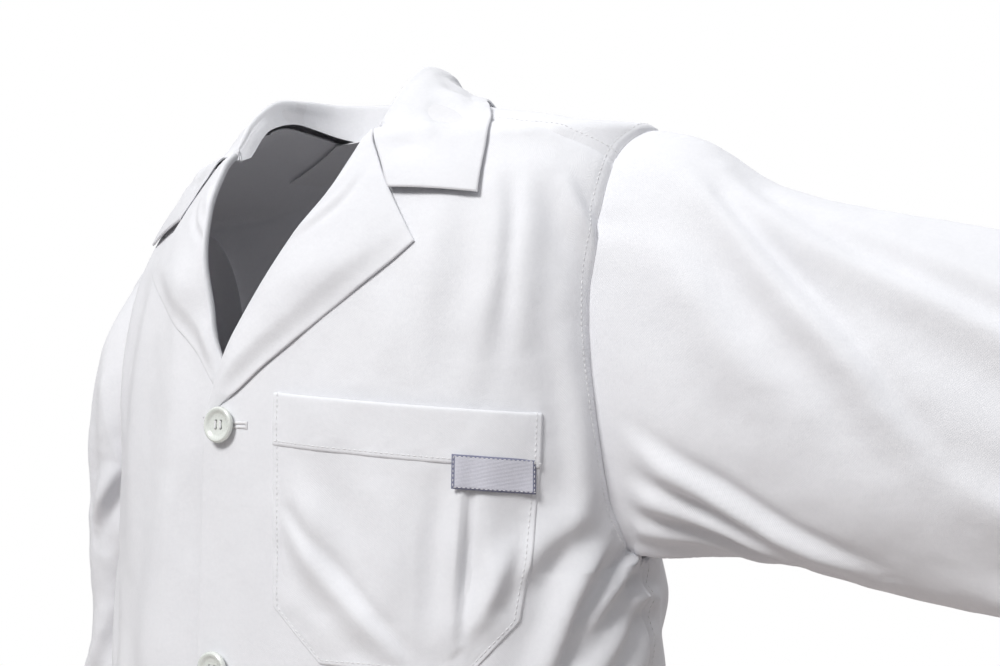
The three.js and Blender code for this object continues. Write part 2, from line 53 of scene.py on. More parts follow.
cameraLook = {"place": (0.482, -0.628, -0.184), "turn": (92.7, 0.0, 30.0), "lens": 41.76}
cameraData = bpy.data.cameras.new("studioCamera")
cameraData.sensor_width = 36.0
cameraData.lens = cameraLook["lens"]
cameraData.clip_start = 0.02
camera = bpy.data.objects.new("studioCamera", cameraData)
camera.location = cameraLook["place"]
camera.rotation_euler = [math.radians(a) for a in cameraLook["turn"]]
bpy.context.scene.collection.objects.link(camera)
bpy.context.scene.camera = camera
print("camera ready")


# small maths
def smoothStep(low, high, value):
    t = np.clip((np.asarray(value, float) - low) / (high - low), 0.0, 1.0)
    return t * t * (3.0 - 2.0 * t)


def mix(a, b, t):
    return a + (b - a) * t


def unit(v):
    return v / np.maximum(np.linalg.norm(v, axis=-1, keepdims=True), 1e-9)


def tableCurve(xs, ys):
    # a smooth curve through a table that never overshoots its values
    xs, ys = np.asarray(xs, float), np.asarray(ys, float)
    gaps = np.diff(xs)
    slopes = np.diff(ys) / gaps
    tangents = np.concatenate([slopes[:1], np.zeros(len(xs) - 2), slopes[-1:]])
    same = slopes[:-1] * slopes[1:] > 0
    w1, w2 = 2 * gaps[1:] + gaps[:-1], gaps[1:] + 2 * gaps[:-1]
    inner = np.zeros(len(xs) - 2)
    inner[same] = ((w1 + w2)[same]) / (w1[same] / slopes[:-1][same] + w2[same] / slopes[1:][same])
    tangents[1:-1] = inner

    def read(x):
        x = np.clip(np.asarray(x, float), xs[0], xs[-1])
        i = np.clip(np.searchsorted(xs, x, side="right") - 1, 0, len(xs) - 2)
        h = gaps[i]
        t = (x - xs[i]) / h
        a = (1 + 2 * t) * (1 - t) ** 2
        b = t * (1 - t) ** 2
        c = t * t * (3 - 2 * t)
        d = t * t * (t - 1)
        return a * ys[i] + b * h * tangents[i] + c * ys[i + 1] + d * h * tangents[i + 1]

    return read


def lengthsAlong(points):
    return np.concatenate([[0.0], np.cumsum(np.linalg.norm(np.diff(points, axis=0), axis=1))])


def pathCurve(points):
    # the same through points in space, read by the fraction of its length
    points = np.asarray(points, float)
    lengths = lengthsAlong(points)
    curves = [tableCurve(lengths / lengths[-1], points[:, k]) for k in range(points.shape[1])]
    return lambda t: np.stack([curve(t) for curve in curves], axis=-1)


def latticeNoise(points, scale, seed):
    # soft noise from -1 to 1; scale is the size of a lump along x, y and z
    table = np.random.default_rng(seed).uniform(-1, 1, (24, 24, 24))
    p = np.asarray(points) / np.asarray(scale, float)
    cell = np.floor(p).astype(int)
    f = p - cell
    f = f * f * f * (f * (f * 6 - 15) + 10)
    total = 0.0
    for dx in (0, 1):
        for dy in (0, 1):
            for dz in (0, 1):
                corner = table[(cell[..., 0] + dx) % 24, (cell[..., 1] + dy) % 24, (cell[..., 2] + dz) % 24]
                share = np.abs(1 - dx - f[..., 0]) * np.abs(1 - dy - f[..., 1]) * np.abs(1 - dz - f[..., 2])
                total = total + corner * share
    return total


coat = {
    "hemZ": -985.0, "armpitZ": -284.0, "shoulderTipZ": -42.0, "shoulderX": 216.0,
    "breakZ": -202.0, "frontOverlap": 22.0, "seamY": 28.0,
    "armholeHalfHeight": 121.0, "armholeFront": 50.0, "armholeBack": 58.0,
    "neckLean": 10.0, "leftLift": 8.0, "rightDrop": -12.0, "rightBack": 60.0, "raisedWidth": 8.0,
    "topButtonZ": -206.0, "buttonGap": 142.0, "buttons": 5,
}
# height, half width, depth in front, depth behind, squareness
torsoRings = np.array([
    [-985, 246, 160, 160, 2.2], [-620, 224, 134, 134, 2.5], [-420, 210, 118, 116, 2.7],
    [-284, 207, 114, 110, 2.8], [-220, 206, 113, 110, 2.8], [-160, 206, 109, 108, 2.8],
    [-110, 210, 103, 104, 2.5], [-70, 215, 93, 96, 2.0], [-42, 216, 80, 86, 1.65],
    [-28, 166, 66, 78, 1.7], [-14, 116, 50, 66, 1.8], [0, 66, 30, 50, 2.0],
])
ringCurves = [tableCurve(torsoRings[:, 0], torsoRings[:, k]) for k in range(1, 5)]
rollLine = [[-22, -202], [-2, -160], [14, -131], [34, -98], [54, -66], [64, -28], [66, 0]]
rightRollLine = [[-20, -202], [2, -185], [16, -167], [23, -155], [33, -130], [46, -92], [55, -62], [64, -28],
                 [66, 0]]
lapelEdge = [[-14, -199], [4, -188], [24, -172], [49, -154], [93, -121], [113, -105]]


def ringAt(z):
    return [curve(z) for curve in ringCurves]


def torsoPoint(angle, z):
    # angle 0 is the side, negative in front and positive behind
    half, front, back, power = ringAt(z)
    depth = np.where(angle < 0, front, back)
    across, away = np.cos(angle), np.abs(np.sin(angle))
    r = ((np.abs(across) / half) ** power + (away / depth) ** power) ** (-1 / power)
    return np.stack([r * across, np.sign(angle) * r * away, z + 0.0 * r], axis=-1)


def angleFromX(x, z, facing):
    half, front, back, power = ringAt(z)
    depth = front if facing < 0 else back
    rest = (1 - np.clip(np.abs(x) / half, 0, 1) ** power) ** (1 / power)
    return facing * np.arctan2(depth * rest, x)


def angleFromY(y, z):
    half, front, back, power = ringAt(z)
    depth = np.where(y < 0, front, back)
    rest = (1 - np.clip(np.abs(y) / depth, 0, 1) ** power) ** (1 / power)
    return np.sign(y) * np.arctan2(np.abs(y), half * rest)


def torsoAt(x, z, facing=-1):
    x, z = np.broadcast_arrays(np.asarray(x, float), np.asarray(z, float))
    return torsoPoint(angleFromX(x, z, facing), z)


def outsideness(p):
    half, front, back, power = ringAt(p[..., 2])
    depth = np.where(p[..., 1] < 0, front, back)
    return ((np.abs(p[..., 0]) / half) ** power + (np.abs(p[..., 1]) / depth) ** power) ** (1 / power)


def outsideSlope(p, step=0.6):
    slopes = [outsideness(p + shift) - outsideness(p - shift) for shift in np.eye(3) * step]
    return np.stack(slopes, axis=-1)


def torsoNormal(p):
    return unit(outsideSlope(p))


def hang(p):
    # the coat hangs a little out of true, because one arm is held out
    x, y, z = p[..., 0], p[..., 1], p[..., 2]
    reach = np.minimum(1.0, np.abs(x) / coat["shoulderX"])
    lift = np.where(x > 0, coat["leftLift"], coat["rightDrop"])
    pulled = np.where(x > 0, smoothStep(-60, -200, z) * smoothStep(-700, -320, z), 0.0)
    lean = coat["neckLean"] * smoothStep(coat["topButtonZ"], 0, z)
    turned = np.where(x > 0, 0.0, coat["rightBack"] * reach ** 1.3)
    return np.stack([
        x + lean + coat["raisedWidth"] * pulled * reach,
        y + turned,
        z + lift * reach ** 2 * smoothStep(-300, -60, z),
    ], axis=-1)


def armholeAt(turn):
    # turn 0 is the front of the armhole, a quarter turn its top
    depth = np.where(np.cos(turn) > 0, coat["armholeFront"], coat["armholeBack"])
    y = -depth * np.cos(turn)
    z = (coat["armpitZ"] + coat["shoulderTipZ"]) / 2 + coat["armholeHalfHeight"] * np.sin(turn)
    return angleFromY(y, z), z


def mirrored(p, side):
    return p * np.array([side, 1.0, 1.0])


# Each fold is a path on the unhung cloth, its half width, its height and how much sharper one side is.
foldStrength = 1.85


def foldField(points, normals, folds):
    total = np.zeros(points.shape[:-1])
    for path, width, height, lean in folds:
        line = pathCurve(path)(np.linspace(0, 1, 22))
        low = line.min(axis=0) - 4.5 * width
        high = line.max(axis=0) + 4.5 * width
        near = np.all((points > low) & (points < high), axis=-1)
        if not near.any():
            continue
        p, n = points[near], normals[near]
        best = np.full(len(p), 1e9)
        signed = np.zeros(len(p))
        where = np.zeros(len(p))
        for i in range(len(line) - 1):
            a, way = line[i], line[i + 1] - line[i]
            # distances are taken in the cloth's own plane at each point
            deep = ((p - a) * n).sum(axis=1)
            flatWay = way - (n @ way)[:, None] * n
            reachIn = p - a - deep[:, None] * n
            t = np.clip((reachIn * flatWay).sum(axis=1) / np.maximum((flatWay ** 2).sum(axis=1), 1e-6), 0, 1)
            off = reachIn - t[:, None] * flatWay
            d = np.linalg.norm(off, axis=1) + 1e3 * (np.abs(deep) > 40)
            side = (np.cross(flatWay, n) * off).sum(axis=1)
            take = d < best
            best = np.where(take, d, best)
            signed = np.where(take, np.sign(side) * d, signed)
            where = np.where(take, (i + t) / (len(line) - 1), where)
        taper = np.sin(np.pi * np.clip(where, 0.02, 0.98)) ** 0.7
        w = width * np.where(signed > 0, 1 + lean, 1 - lean)
        crest = np.exp(-(signed / w) ** 2)
        trough = np.exp(-((np.abs(signed) - 2.0 * w) / (1.1 * w)) ** 2)
        total[near] += foldStrength * height * taper * (crest - 0.45 * trough)
    return total


chestFolds = [
    ([(152, -90, -53), (161, -88, -83), (163, -92, -120), (158, -99, -152), (153, -101, -190)], 9, 1.5, 0.3),
    ([(170, -74, -54), (176, -80, -90), (178, -88, -118), (178, -90, -141), (178, -90, -172)], 7, 1.5, -0.3),
    ([(186, -60, -64), (196, -57, -88), (203, -50, -108), (205, -44, -132)], 6, 1.6, 0.3),
    ([(132, -86, -62), (128, -98, -100), (122, -103, -150), (120, -106, -186)], 13, 1.2, 0.0),
    ([(100, -104, -124), (104, -107, -150), (108, -109, -180)], 9, 0.9, 0.2),
    ([(60, -108, -176), (66, -109, -200), (70, -110, -240)], 12, 0.8, 0.0),
    ([(192, -72, -150), (198, -64, -190), (200, -60, -240), (196, -68, -284)], 9, 1.8, -0.3),
    ([(206, -40, -268), (197, -62, -293), (190, -71, -322), (180, -80, -352)], 6, 3.4, 0.35),
    ([(210, -4, -276), (209, -26, -286), (206, -41, -296), (198, -60, -318)], 5, 3.2, -0.3),
    ([(208, -31, -300), (209, 0, -304), (209, 25, -309)], 5, 2.6, 0.2),
    ([(208, 6, -290), (206, -34, -322), (196, -66, -356), (180, -84, -392)], 8, 2.8, 0.3),
    ([(208, 20, -322), (208, -28, -350), (200, -62, -392), (186, -82, -440)], 12, 2.6, 0.2),
    ([(200, -58, -250), (186, -76, -268), (170, -90, -290)], 8, 1.8, 0.3),
    ([(188, -80, -340), (186, -84, -420), (188, -84, -520)], 14, 2.4, 0.0),
    ([(120, -112, -350), (128, -114, -430), (134, -114, -540)], 18, 2.0, 0.1),
]
backFolds = [
    ([(150, 90, -70), (146, 98, -130), (142, 102, -210), (138, 104, -300)], 14, 2.6, 0.2),
    ([(190, 70, -96), (180, 84, -150), (172, 92, -220), (168, 98, -300)], 10, 3.0, -0.2),
    ([(204, 40, -262), (188, 76, -286), (160, 96, -318), (126, 106, -350)], 9, 3.6, 0.3),
    ([(206, 30, -288), (190, 74, -328), (160, 98, -376)], 10, 3.0, 0.3),
    ([(60, 84, -40), (70, 96, -90), (74, 102, -170), (76, 106, -260)], 16, 2.2, 0.0),
    ([(28, 108, -330), (32, 112, -450), (34, 120, -600), (34, 132, -760)], 20, 3.2, 0.1),
    ([(104, 106, -380), (108, 114, -500), (112, 122, -640)], 22, 3.6, -0.1),
    ([(172, 92, -390), (180, 92, -500), (186, 94, -620)], 20, 3.4, 0.1),
]
rightFolds = [
    ([(150, -90, -60), (158, -88, -100), (160, -94, -160), (156, -98, -230)], 11, 2.2, 0.3),
    ([(184, -62, -72), (190, -66, -120), (192, -70, -180), (188, -76, -250)], 8, 2.4, -0.2),
    ([(120, -94, -86), (120, -104, -140), (118, -108, -220), (114, -112, -320)], 16, 1.6, 0.0),
    ([(204, -42, -262), (192, -70, -300), (176, -86, -350), (150, -102, -410)], 9, 2.8, 0.3),
    ([(206, -30, -292), (198, -62, -340), (184, -82, -400)], 10, 2.8, 0.2),
    ([(70, -110, -230), (80, -112, -330), (86, -116, -450)], 18, 1.8, 0.1),
    ([(130, -108, -340), (136, -112, -440), (140, -116, -560)], 18, 2.4, 0.1),
]


def lappedQuiet(p):
    # cloth stays put where the buttons hold it
    quiet = 1.0
    for i in range(coat["buttons"]):
        z = coat["topButtonZ"] - coat["buttonGap"] * i
        near = np.exp(-(((p[..., 0] + 4) / 30) ** 2 + ((p[..., 2] - z) / 34) ** 2)) * (p[..., 1] < 0)
        quiet = quiet * (1 - near)
    return quiet


def drape(p, n, side):
    # how far the cloth lies off the smooth torso, the same for every layer
    front = p[..., 1] < 0
    folded = mirrored(p, side)
    normals = mirrored(n, side)
    amount = foldField(folded, normals, backFolds)
    amount = amount + foldField(folded, normals, chestFolds if side > 0 else rightFolds)
    amount = amount + 1.1 * latticeNoise(p, (46, 46, 120), 3) + 0.55 * latticeNoise(p, (22, 22, 44), 5)
    amount = amount + 0.22 * latticeNoise(p, (9, 9, 15), 8)
    angle = np.arctan2(p[..., 1], p[..., 0])
    skirt = smoothStep(-400, -960, p[..., 2])
    flutes = np.cos(9 * angle + 0.6 + 0.8 * np.sin(2 * angle)) + 0.5 * np.cos(17 * angle + 2.1)
    edge = np.where(front, smoothStep(26, 110, np.abs(p[..., 0] + 4)), 1.0)
    amount = amount + (6.0 * flutes - 3.0) * skirt * edge
    return amount * lappedQuiet(p) * smoothStep(2, -26, p[..., 2])


print("drape ready")


def gridNormals(points, closed=False):
    if closed:
        wide = np.concatenate([points[:, -2:-1], points, points[:, 1:2]], axis=1)
        across = (wide[:, 2:] - wide[:, :-2])
    else:
        across = np.gradient(points, axis=1)
    along = np.gradient(points, axis=0)
    return unit(np.cross(across, along))


def tubeNormals(points):
    n = gridNormals(points, closed=True)
    inward = np.einsum("ijk,ijk->", n, points - points.mean(axis=1, keepdims=True)) < 0
    return -n if inward else n


def arcs(points, axis):
    steps = np.linalg.norm(np.diff(points, axis=axis), axis=-1)
    start = np.zeros_like(np.take(steps, [0], axis=axis))
    return np.concatenate([start, np.cumsum(steps, axis=axis)], axis=axis)


def makeSheet(name, points, outward, material, closed=False, thick=clothThick, uvs=None):
    # points is a grid of rows by columns, the outer face of the cloth
    rows, columns = points.shape[:2]
    bm = bmesh.new()
    bmesh.ops.create_grid(bm, x_segments=columns - 1, y_segments=rows - 1, size=0.5)
    mesh = bpy.data.meshes.new(name)
    bm.to_mesh(mesh)
    bm.free()
    count = len(mesh.vertices)
    flat = np.empty(count * 3)
    mesh.vertices.foreach_get("co", flat)
    flat = flat.reshape(-1, 3)
    if count != rows * columns:
        raise ValueError(f"{name}: grid has {count} points, {rows * columns} wanted")
    i = np.rint((flat[:, 1] + 0.5) * (rows - 1)).astype(int)
    j = np.rint((flat[:, 0] + 0.5) * (columns - 1)).astype(int)
    mesh.vertices.foreach_set("co", (points[i, j] * mm).ravel())
    if uvs is None:
        across, along = arcs(points, 1), arcs(points, 0)
        uvs = np.stack([across - across[:, columns // 2][:, None], along], axis=-1)
    layer = mesh.uv_layers.new(name="cloth")
    loops = np.empty(len(mesh.loops), int)
    mesh.loops.foreach_get("vertex_index", loops)
    layer.data.foreach_set("uv", (uvs[i, j][loops] * mm).ravel())
    mesh.update()
    faces = np.empty(len(mesh.polygons) * 3)
    mesh.polygons.foreach_get("normal", faces)
    centres = np.empty(len(mesh.polygons) * 3)
    mesh.polygons.foreach_get("center", centres)
    sense = np.einsum("ij,ij->i", faces.reshape(-1, 3), outward(centres.reshape(-1, 3) / mm)).sum()
    bm = bmesh.new()
    bm.from_mesh(mesh)
    if sense < 0:
        bmesh.ops.reverse_faces(bm, faces=bm.faces)
    if closed:
        bmesh.ops.remove_doubles(bm, verts=bm.verts, dist=2e-6)
    bm.to_mesh(mesh)
    bm.free()
    obj = bpy.data.objects.new(name, mesh)
    bpy.context.scene.collection.objects.link(obj)
    wall = obj.modifiers.new("thickness", "SOLIDIFY")
    wall.thickness = thick * mm
    wall.offset = -1.0
    bpy.context.view_layer.update()
    final = bpy.data.meshes.new_from_object(obj.evaluated_get(bpy.context.evaluated_depsgraph_get()))
    obj.modifiers.clear()
    obj.data = final
    bpy.data.meshes.remove(mesh)
    final.name = name
    smoothShaded(obj, material)
    return obj


def smoothShaded(obj, material, angle=76):
    mesh = obj.data
    mesh.polygons.foreach_set("use_smooth", np.ones(len(mesh.polygons), bool))
    mesh.set_sharp_from_angle(angle=math.radians(angle))
    mesh.materials.clear()
    mesh.materials.append(material)
    mesh.update()


def awayFromAxis(points):
    return points * np.array([1.0, 1.0, 0.0])


def meshObject(name, bm):
    mesh = bpy.data.meshes.new(name)
    bm.to_mesh(mesh)
    bm.free()
    obj = bpy.data.objects.new(name, mesh)
    bpy.context.scene.collection.objects.link(obj)
    return obj


def register(obj, body, node):
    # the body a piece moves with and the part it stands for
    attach(obj, body)
    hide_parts(node)


stitchLook = {"pitch": 3.3, "length": 2.5, "width": 0.62, "height": 0.5}
stitchRuns = {}


def sew(body, points, normals, look=stitchLook):
    # remembers a row of stitches on a line of points; they are all made at the end
    lengths = lengthsAlong(points)
    places = np.arange(look["pitch"], lengths[-1], look["pitch"])

    def read(values, s):
        return np.stack([np.interp(s, lengths, values[:, k]) for k in range(3)], axis=-1)

    centre = read(points, places)
    way = unit(read(points, places + 0.6) - read(points, places - 0.6))
    up = unit(read(normals, places))
    stitchRuns.setdefault(body, []).append((centre, way, up, look))


def addStitch(bm, axes, centre):
    # a small ball drawn out along three directions
    place = Matrix([[axes[0][k] * mm, axes[1][k] * mm, axes[2][k] * mm, centre[k] * mm] for k in range(3)]
                   + [[0, 0, 0, 1]])
    bmesh.ops.create_icosphere(bm, subdivisions=1, radius=1.0, matrix=place)


def makeStitches(body, name, material):
    bm = bmesh.new()
    for centres, ways, ups, look in stitchRuns[body]:
        for centre, way, up in zip(centres, ways, ups):
            side = np.cross(up, way)
            side = side / max(np.linalg.norm(side), 1e-9)
            up = np.cross(way, side)
            size = (look["length"] / 2, look["width"] / 2, look["height"] / 2)
            addStitch(bm, [way * size[0], side * size[1], up * size[2]], centre)
    obj = meshObject(name, bm)
    smoothShaded(obj, material, 60)
    return obj


def lineAt(points, distances, wanted):
    # a line across a grid where a distance that grows along each row reaches a value
    out = np.empty((points.shape[0], 3))
    for r in range(points.shape[0]):
        for k in range(3):
            out[r, k] = np.interp(wanted, distances[r], points[r, :, k])
    return out


def sewLine(body, points, normals, distances, wanted, part=slice(None)):
    # a row of stitches where a distance reaches a value
    sew(body, lineAt(points, distances, wanted)[part], lineAt(normals, distances, wanted)[part])


def swapped(grid):
    return np.swapaxes(grid, 0, 1)


class Wire:
    # a socket that takes part in sums
    def __init__(self, graph, socket):
        self.graph, self.socket = graph, socket

    def sum(self, operation, first, second=None):
        values = {0: first} if second is None else {0: first, 1: second}
        return self.graph.node("ShaderNodeMath", {"operation": operation}, values)

    def __add__(self, other): return self.sum("ADD", self, other)
    def __radd__(self, other): return self.sum("ADD", other, self)
    def __sub__(self, other): return self.sum("SUBTRACT", self, other)
    def __rsub__(self, other): return self.sum("SUBTRACT", other, self)
    def __mul__(self, other): return self.sum("MULTIPLY", self, other)
    def __rmul__(self, other): return self.sum("MULTIPLY", other, self)
    def __truediv__(self, other): return self.sum("DIVIDE", self, other)
    def __rtruediv__(self, other): return self.sum("DIVIDE", other, self)
    def __pow__(self, other): return self.sum("POWER", self, other)
    def sine(self): return self.sum("SINE", self)
    def size(self): return self.sum("ABSOLUTE", self)


class Graph:
    def __init__(self, name):
        self.material = bpy.data.materials.new(name)
        self.material.use_nodes = True
        self.tree = self.material.node_tree
        self.tree.nodes.clear()

    def node(self, kind, settings=None, inputs=None, output=0):
        made = self.tree.nodes.new(kind)
        for key, value in (settings or {}).items():
            if key == "stops":
                while len(made.color_ramp.elements) < len(value):
                    made.color_ramp.elements.new(0.5)
                for element, (position, shade) in zip(made.color_ramp.elements, value):
                    element.position = position
                    element.color = (*shade, 1.0)
            else:
                setattr(made, key, value)
        for key, value in (inputs or {}).items():
            socket = made.inputs[key]
            if isinstance(value, Wire):
                self.tree.links.new(value.socket, socket)
            else:
                socket.default_value = value
        return Wire(self, made.outputs[output]) if len(made.outputs) else None

    def axes(self, source):
        parts = self.node("ShaderNodeSeparateXYZ", {}, {0: source}).socket.node
        return [Wire(self, parts.outputs[k]) for k in range(3)]

    def place(self, kind="Object"):
        made = self.tree.nodes.new("ShaderNodeTexCoord")
        return Wire(self, made.outputs[kind])

    def noise(self, where, scale, detail=2.0, roughness=0.5):
        return self.node("ShaderNodeTexNoise", {"noise_dimensions": "3D"}, {
            "Vector": where, "Scale": scale, "Detail": detail, "Roughness": roughness})

    def blend(self, factor, first, second):
        made = self.tree.nodes.new("ShaderNodeMix")
        made.data_type = "RGBA"
        for socket, value in ((made.inputs[0], factor), (made.inputs[6], first), (made.inputs[7], second)):
            if isinstance(value, Wire):
                self.tree.links.new(value.socket, socket)
            else:
                socket.default_value = value
        return Wire(self, made.outputs[2])

    def bump(self, height, strength, distance):
        return self.node("ShaderNodeBump", {}, {"Strength": strength, "Distance": distance, "Height": height})

    def finish(self, sockets):
        shader = self.node("ShaderNodeBsdfPrincipled", {}, sockets)
        self.node("ShaderNodeOutputMaterial", {}, {"Surface": shader})
        return self.material


def makeTwill(name, shade, shadow, weave=0.00062, depth=1.0):
    # fine diagonal ribs on the cloth's own lengths, with slubs and a faint unevenness
    g = Graph(name)
    u, v, _ = g.axes(g.place("UV"))
    spot = g.place("Object")
    wander = g.noise(spot, 60.0, 2.0) * 0.9
    turn = 2 * math.pi / weave
    ribs = ((u * 0.72 + v * 0.69) * turn + wander).sine()
    yarn = (u * (turn * 0.5)).sine() * (v * (turn * 0.5)).sine()
    slub = g.noise(spot, 420.0, 3.0, 0.6)
    creased = g.noise(spot, 55.0, 4.0, 0.55)
    broad = g.noise(spot, 9.0, 3.0, 0.5)
    height = ribs * 0.5 + yarn * 0.3 + slub * 0.8
    fine = g.bump(height, 0.32 * depth, 0.00022)
    soft = g.node("ShaderNodeBump", {}, {
        "Strength": 0.35 * depth, "Distance": 0.0016, "Height": creased, "Normal": fine})
    tone = g.node("ShaderNodeValToRGB", {"stops": [(0.3, shadow), (0.62, shade)]}, {
        0: broad * 0.55 + slub * 0.3 + (ribs * 0.5 + 0.5) * 0.12})
    return g.finish({
        "Base Color": tone, "Roughness": slub * 0.12 + 0.84, "Normal": soft,
        "Sheen Weight": 0.12, "Sheen Roughness": 0.45, "Specular IOR Level": 0.28})


def makeResin():
    g = Graph("buttonResin")
    spot = g.place("Object")
    cloud = g.noise(spot, 160.0, 3.0)
    fleck = g.noise(spot, 900.0, 2.0)
    tone = g.blend(cloud, (0.66, 0.70, 0.66, 1), (0.80, 0.82, 0.79, 1))
    return g.finish({
        "Base Color": tone, "Roughness": fleck * 0.12 + 0.22, "Coat Weight": 0.35, "Coat Roughness": 0.12,
        "Normal": g.bump(fleck, 0.08, 0.0001), "Specular IOR Level": 0.5})


def makeThread():
    g = Graph("sewingThread")
    spot = g.place("Object")
    x, y, z = g.axes(spot)
    twist = ((x + y * 0.8 + z * 1.2) * 9000.0).sine()
    fuzz = g.noise(spot, 1500.0, 2.0)
    tone = g.blend(fuzz, (0.74, 0.74, 0.76, 1), (0.88, 0.88, 0.89, 1))
    return g.finish({
        "Base Color": tone, "Roughness": fuzz * 0.2 + 0.6,
        "Normal": g.bump(twist * 0.5 + fuzz, 0.4, 0.0001), "Sheen Weight": 0.1})


def makeWoven():
    # a woven tab: pale ground, darker border, ribs across it
    g = Graph("wovenTab")
    u, v, _ = g.axes(g.place("UV"))
    across = (u.size() - 0.0192).sum("GREATER_THAN", u.size(), 0.0192)
    along = g.node("ShaderNodeMath", {"operation": "GREATER_THAN"}, {0: (v - 0.009).size(), 1: 0.0078})
    border = g.node("ShaderNodeMath", {"operation": "MAXIMUM"}, {0: across, 1: along})
    spot = g.place("Object")
    fuzz = g.noise(spot, 1300.0, 3.0)
    ground = g.blend(fuzz, (0.56, 0.56, 0.64, 1), (0.72, 0.72, 0.79, 1))
    edge = g.blend(fuzz, (0.16, 0.165, 0.25, 1), (0.25, 0.26, 0.36, 1))
    ribs = (v * (2 * math.pi / 0.0007)).sine() * 0.5 + (u * (2 * math.pi / 0.0005)).sine() * 0.3
    return g.finish({
        "Base Color": g.blend(border, ground, edge), "Roughness": fuzz * 0.15 + 0.72,
        "Normal": g.bump(ribs + fuzz, 0.45, 0.00025), "Sheen Weight": 0.15})


cottonWhite = makeTwill("cottonTwill", (0.835, 0.84, 0.87), (0.77, 0.775, 0.81))
# the second twill is a darker copy of the first, put on the facings, back neck facing, collar stand, under collar
# and cuff hems: painted shade for pieces that lie inside and under the coat
cottonShadedInside = makeTwill("cottonTwillShadedInside", (0.80, 0.80, 0.825), (0.74, 0.74, 0.77))
resin, thread, woven = makeResin(), makeThread(), makeWoven()
print("materials ready")

seam = {"dip": 1.1, "reach": 2.4, "topstitch": 6.0, "pucker": 0.28}


def seamDip(distance):
    return -seam["dip"] * np.exp(-(distance / seam["reach"]) ** 2)


def puckered(points, distance, line):
    # short ripples beside a row of stitches
    near = np.exp(-((distance - line) / 5.0) ** 2)
    groove = 0.28 * np.exp(-((distance - line) / 0.9) ** 2)
    return seam["pucker"] * near * latticeNoise(points, (6, 6, 6), 21) - groove


def rimDrop(distance, deep=1.0):
    # a folded edge turns in over its last millimetre
    t = np.clip(distance / 1.3, 0, 1)
    return -deep * (1 - np.sqrt(np.maximum(0, 1 - (1 - t) ** 2)))


def spaced(count, width, edge=(0.0, 0.45, 1.2, 2.4), far=True):
    # places from 0 to 1 that are closer together at the ends
    near = np.array(edge) / width
    body = np.linspace(near[-1], 1 - near[-1] if far else 1.0, count - (2 if far else 1) * (len(edge) - 1))
    parts = [near[:-1], body] + ([1 - near[:-1][::-1]] if far else [])
    return np.concatenate(parts)


panel = {"lowerRows": 150, "upperRows": 112, "columns": 92, "hem": 25.0}
lowerHeights = [-985, -850, -710, -570, -450, -360, -284]
frontRise = [-284, -240, -202, -165, -131, -98, -66, -30, -8]
backRise = [-284, -245, -205, -165, -125, -85, -50, -16]


def panelBase(side, facing):
    # a grid of the unhung left side, from the front or back edge to the side seam and armhole
    low = np.linspace(coat["hemZ"], coat["armpitZ"], panel["lowerRows"], endpoint=False)
    low = np.concatenate([[coat["hemZ"], coat["hemZ"] + 0.6, coat["hemZ"] + 1.5], low[1:]])
    count = panel["upperRows"]
    seamTurn = math.degrees(math.acos(coat["seamY"] / coat["armholeFront"]))
    if facing < 0:
        k = np.linspace(0, 8, count)
        innerZ = tableCurve(range(9), frontRise)(k)
        turn = np.radians(-90 + (90 + seamTurn) * k / 8)
        allZ = np.concatenate([low, innerZ])
        line = rollLine if side > 0 else rightRollLine
        smoothRoll = tableCurve([p[1] for p in line], [p[0] for p in line])
        innerX = np.where(allZ <= coat["breakZ"], -coat["frontOverlap"], smoothRoll(np.maximum(allZ, -202)))
        innerAngle = angleFromX(innerX, allZ, -1)
    else:
        k = np.linspace(0, 9, count)
        neck = pathCurve([[0, -16], [34, -11], [60, -3], [66, 0]])(np.clip(k - 7, 0, 1))
        downFront = np.clip(k - 8, 0, 1)
        innerZ = np.where(k <= 7, tableCurve(range(8), backRise)(k), np.where(k <= 8, neck[:, 1], -8 * downFront))
        turn = np.radians(np.where(k <= 8, 270 - 22.5 * k, 90 - (90 - seamTurn) * (k - 8)))
        frontX = 66 - 0.5 * downFront
        overTop = angleFromX(frontX, innerZ, -1)
        allZ = np.concatenate([low, innerZ])
        upperAngle = np.where(k <= 7, math.pi / 2, np.where(k <= 8, angleFromX(neck[:, 0], innerZ, 1), overTop))
        innerAngle = np.concatenate([np.full(len(low), math.pi / 2), upperAngle])
    outerAngle, outerZ = armholeAt(turn)
    outerAngle = np.concatenate([np.zeros(len(low)), outerAngle])
    outerZ = np.concatenate([low, outerZ])
    t = spaced(panel["columns"], 300.0)
    angle = mix(innerAngle[:, None], outerAngle[:, None], t[None, :])
    z = mix(allZ[:, None], outerZ[:, None], t[None, :])
    angle = np.where(angle == 0, facing * 1e-7, angle)
    return torsoPoint(angle, z)


def sinkAt(p):
    # the right front passes under the left one
    upward = np.where(p[..., 2] < -142, 1.0, smoothStep(-100, -142, p[..., 2]))
    return -5.1 * smoothStep(-64, -36, p[..., 0]) * upward


frontSheet = {"flat": (0.36, 1.02), "area": 0.29, "body": "coat_body"}
backSheet = {"flat": (0.36, 1.04), "area": 0.31, "body": "coat_body"}
tops = {}


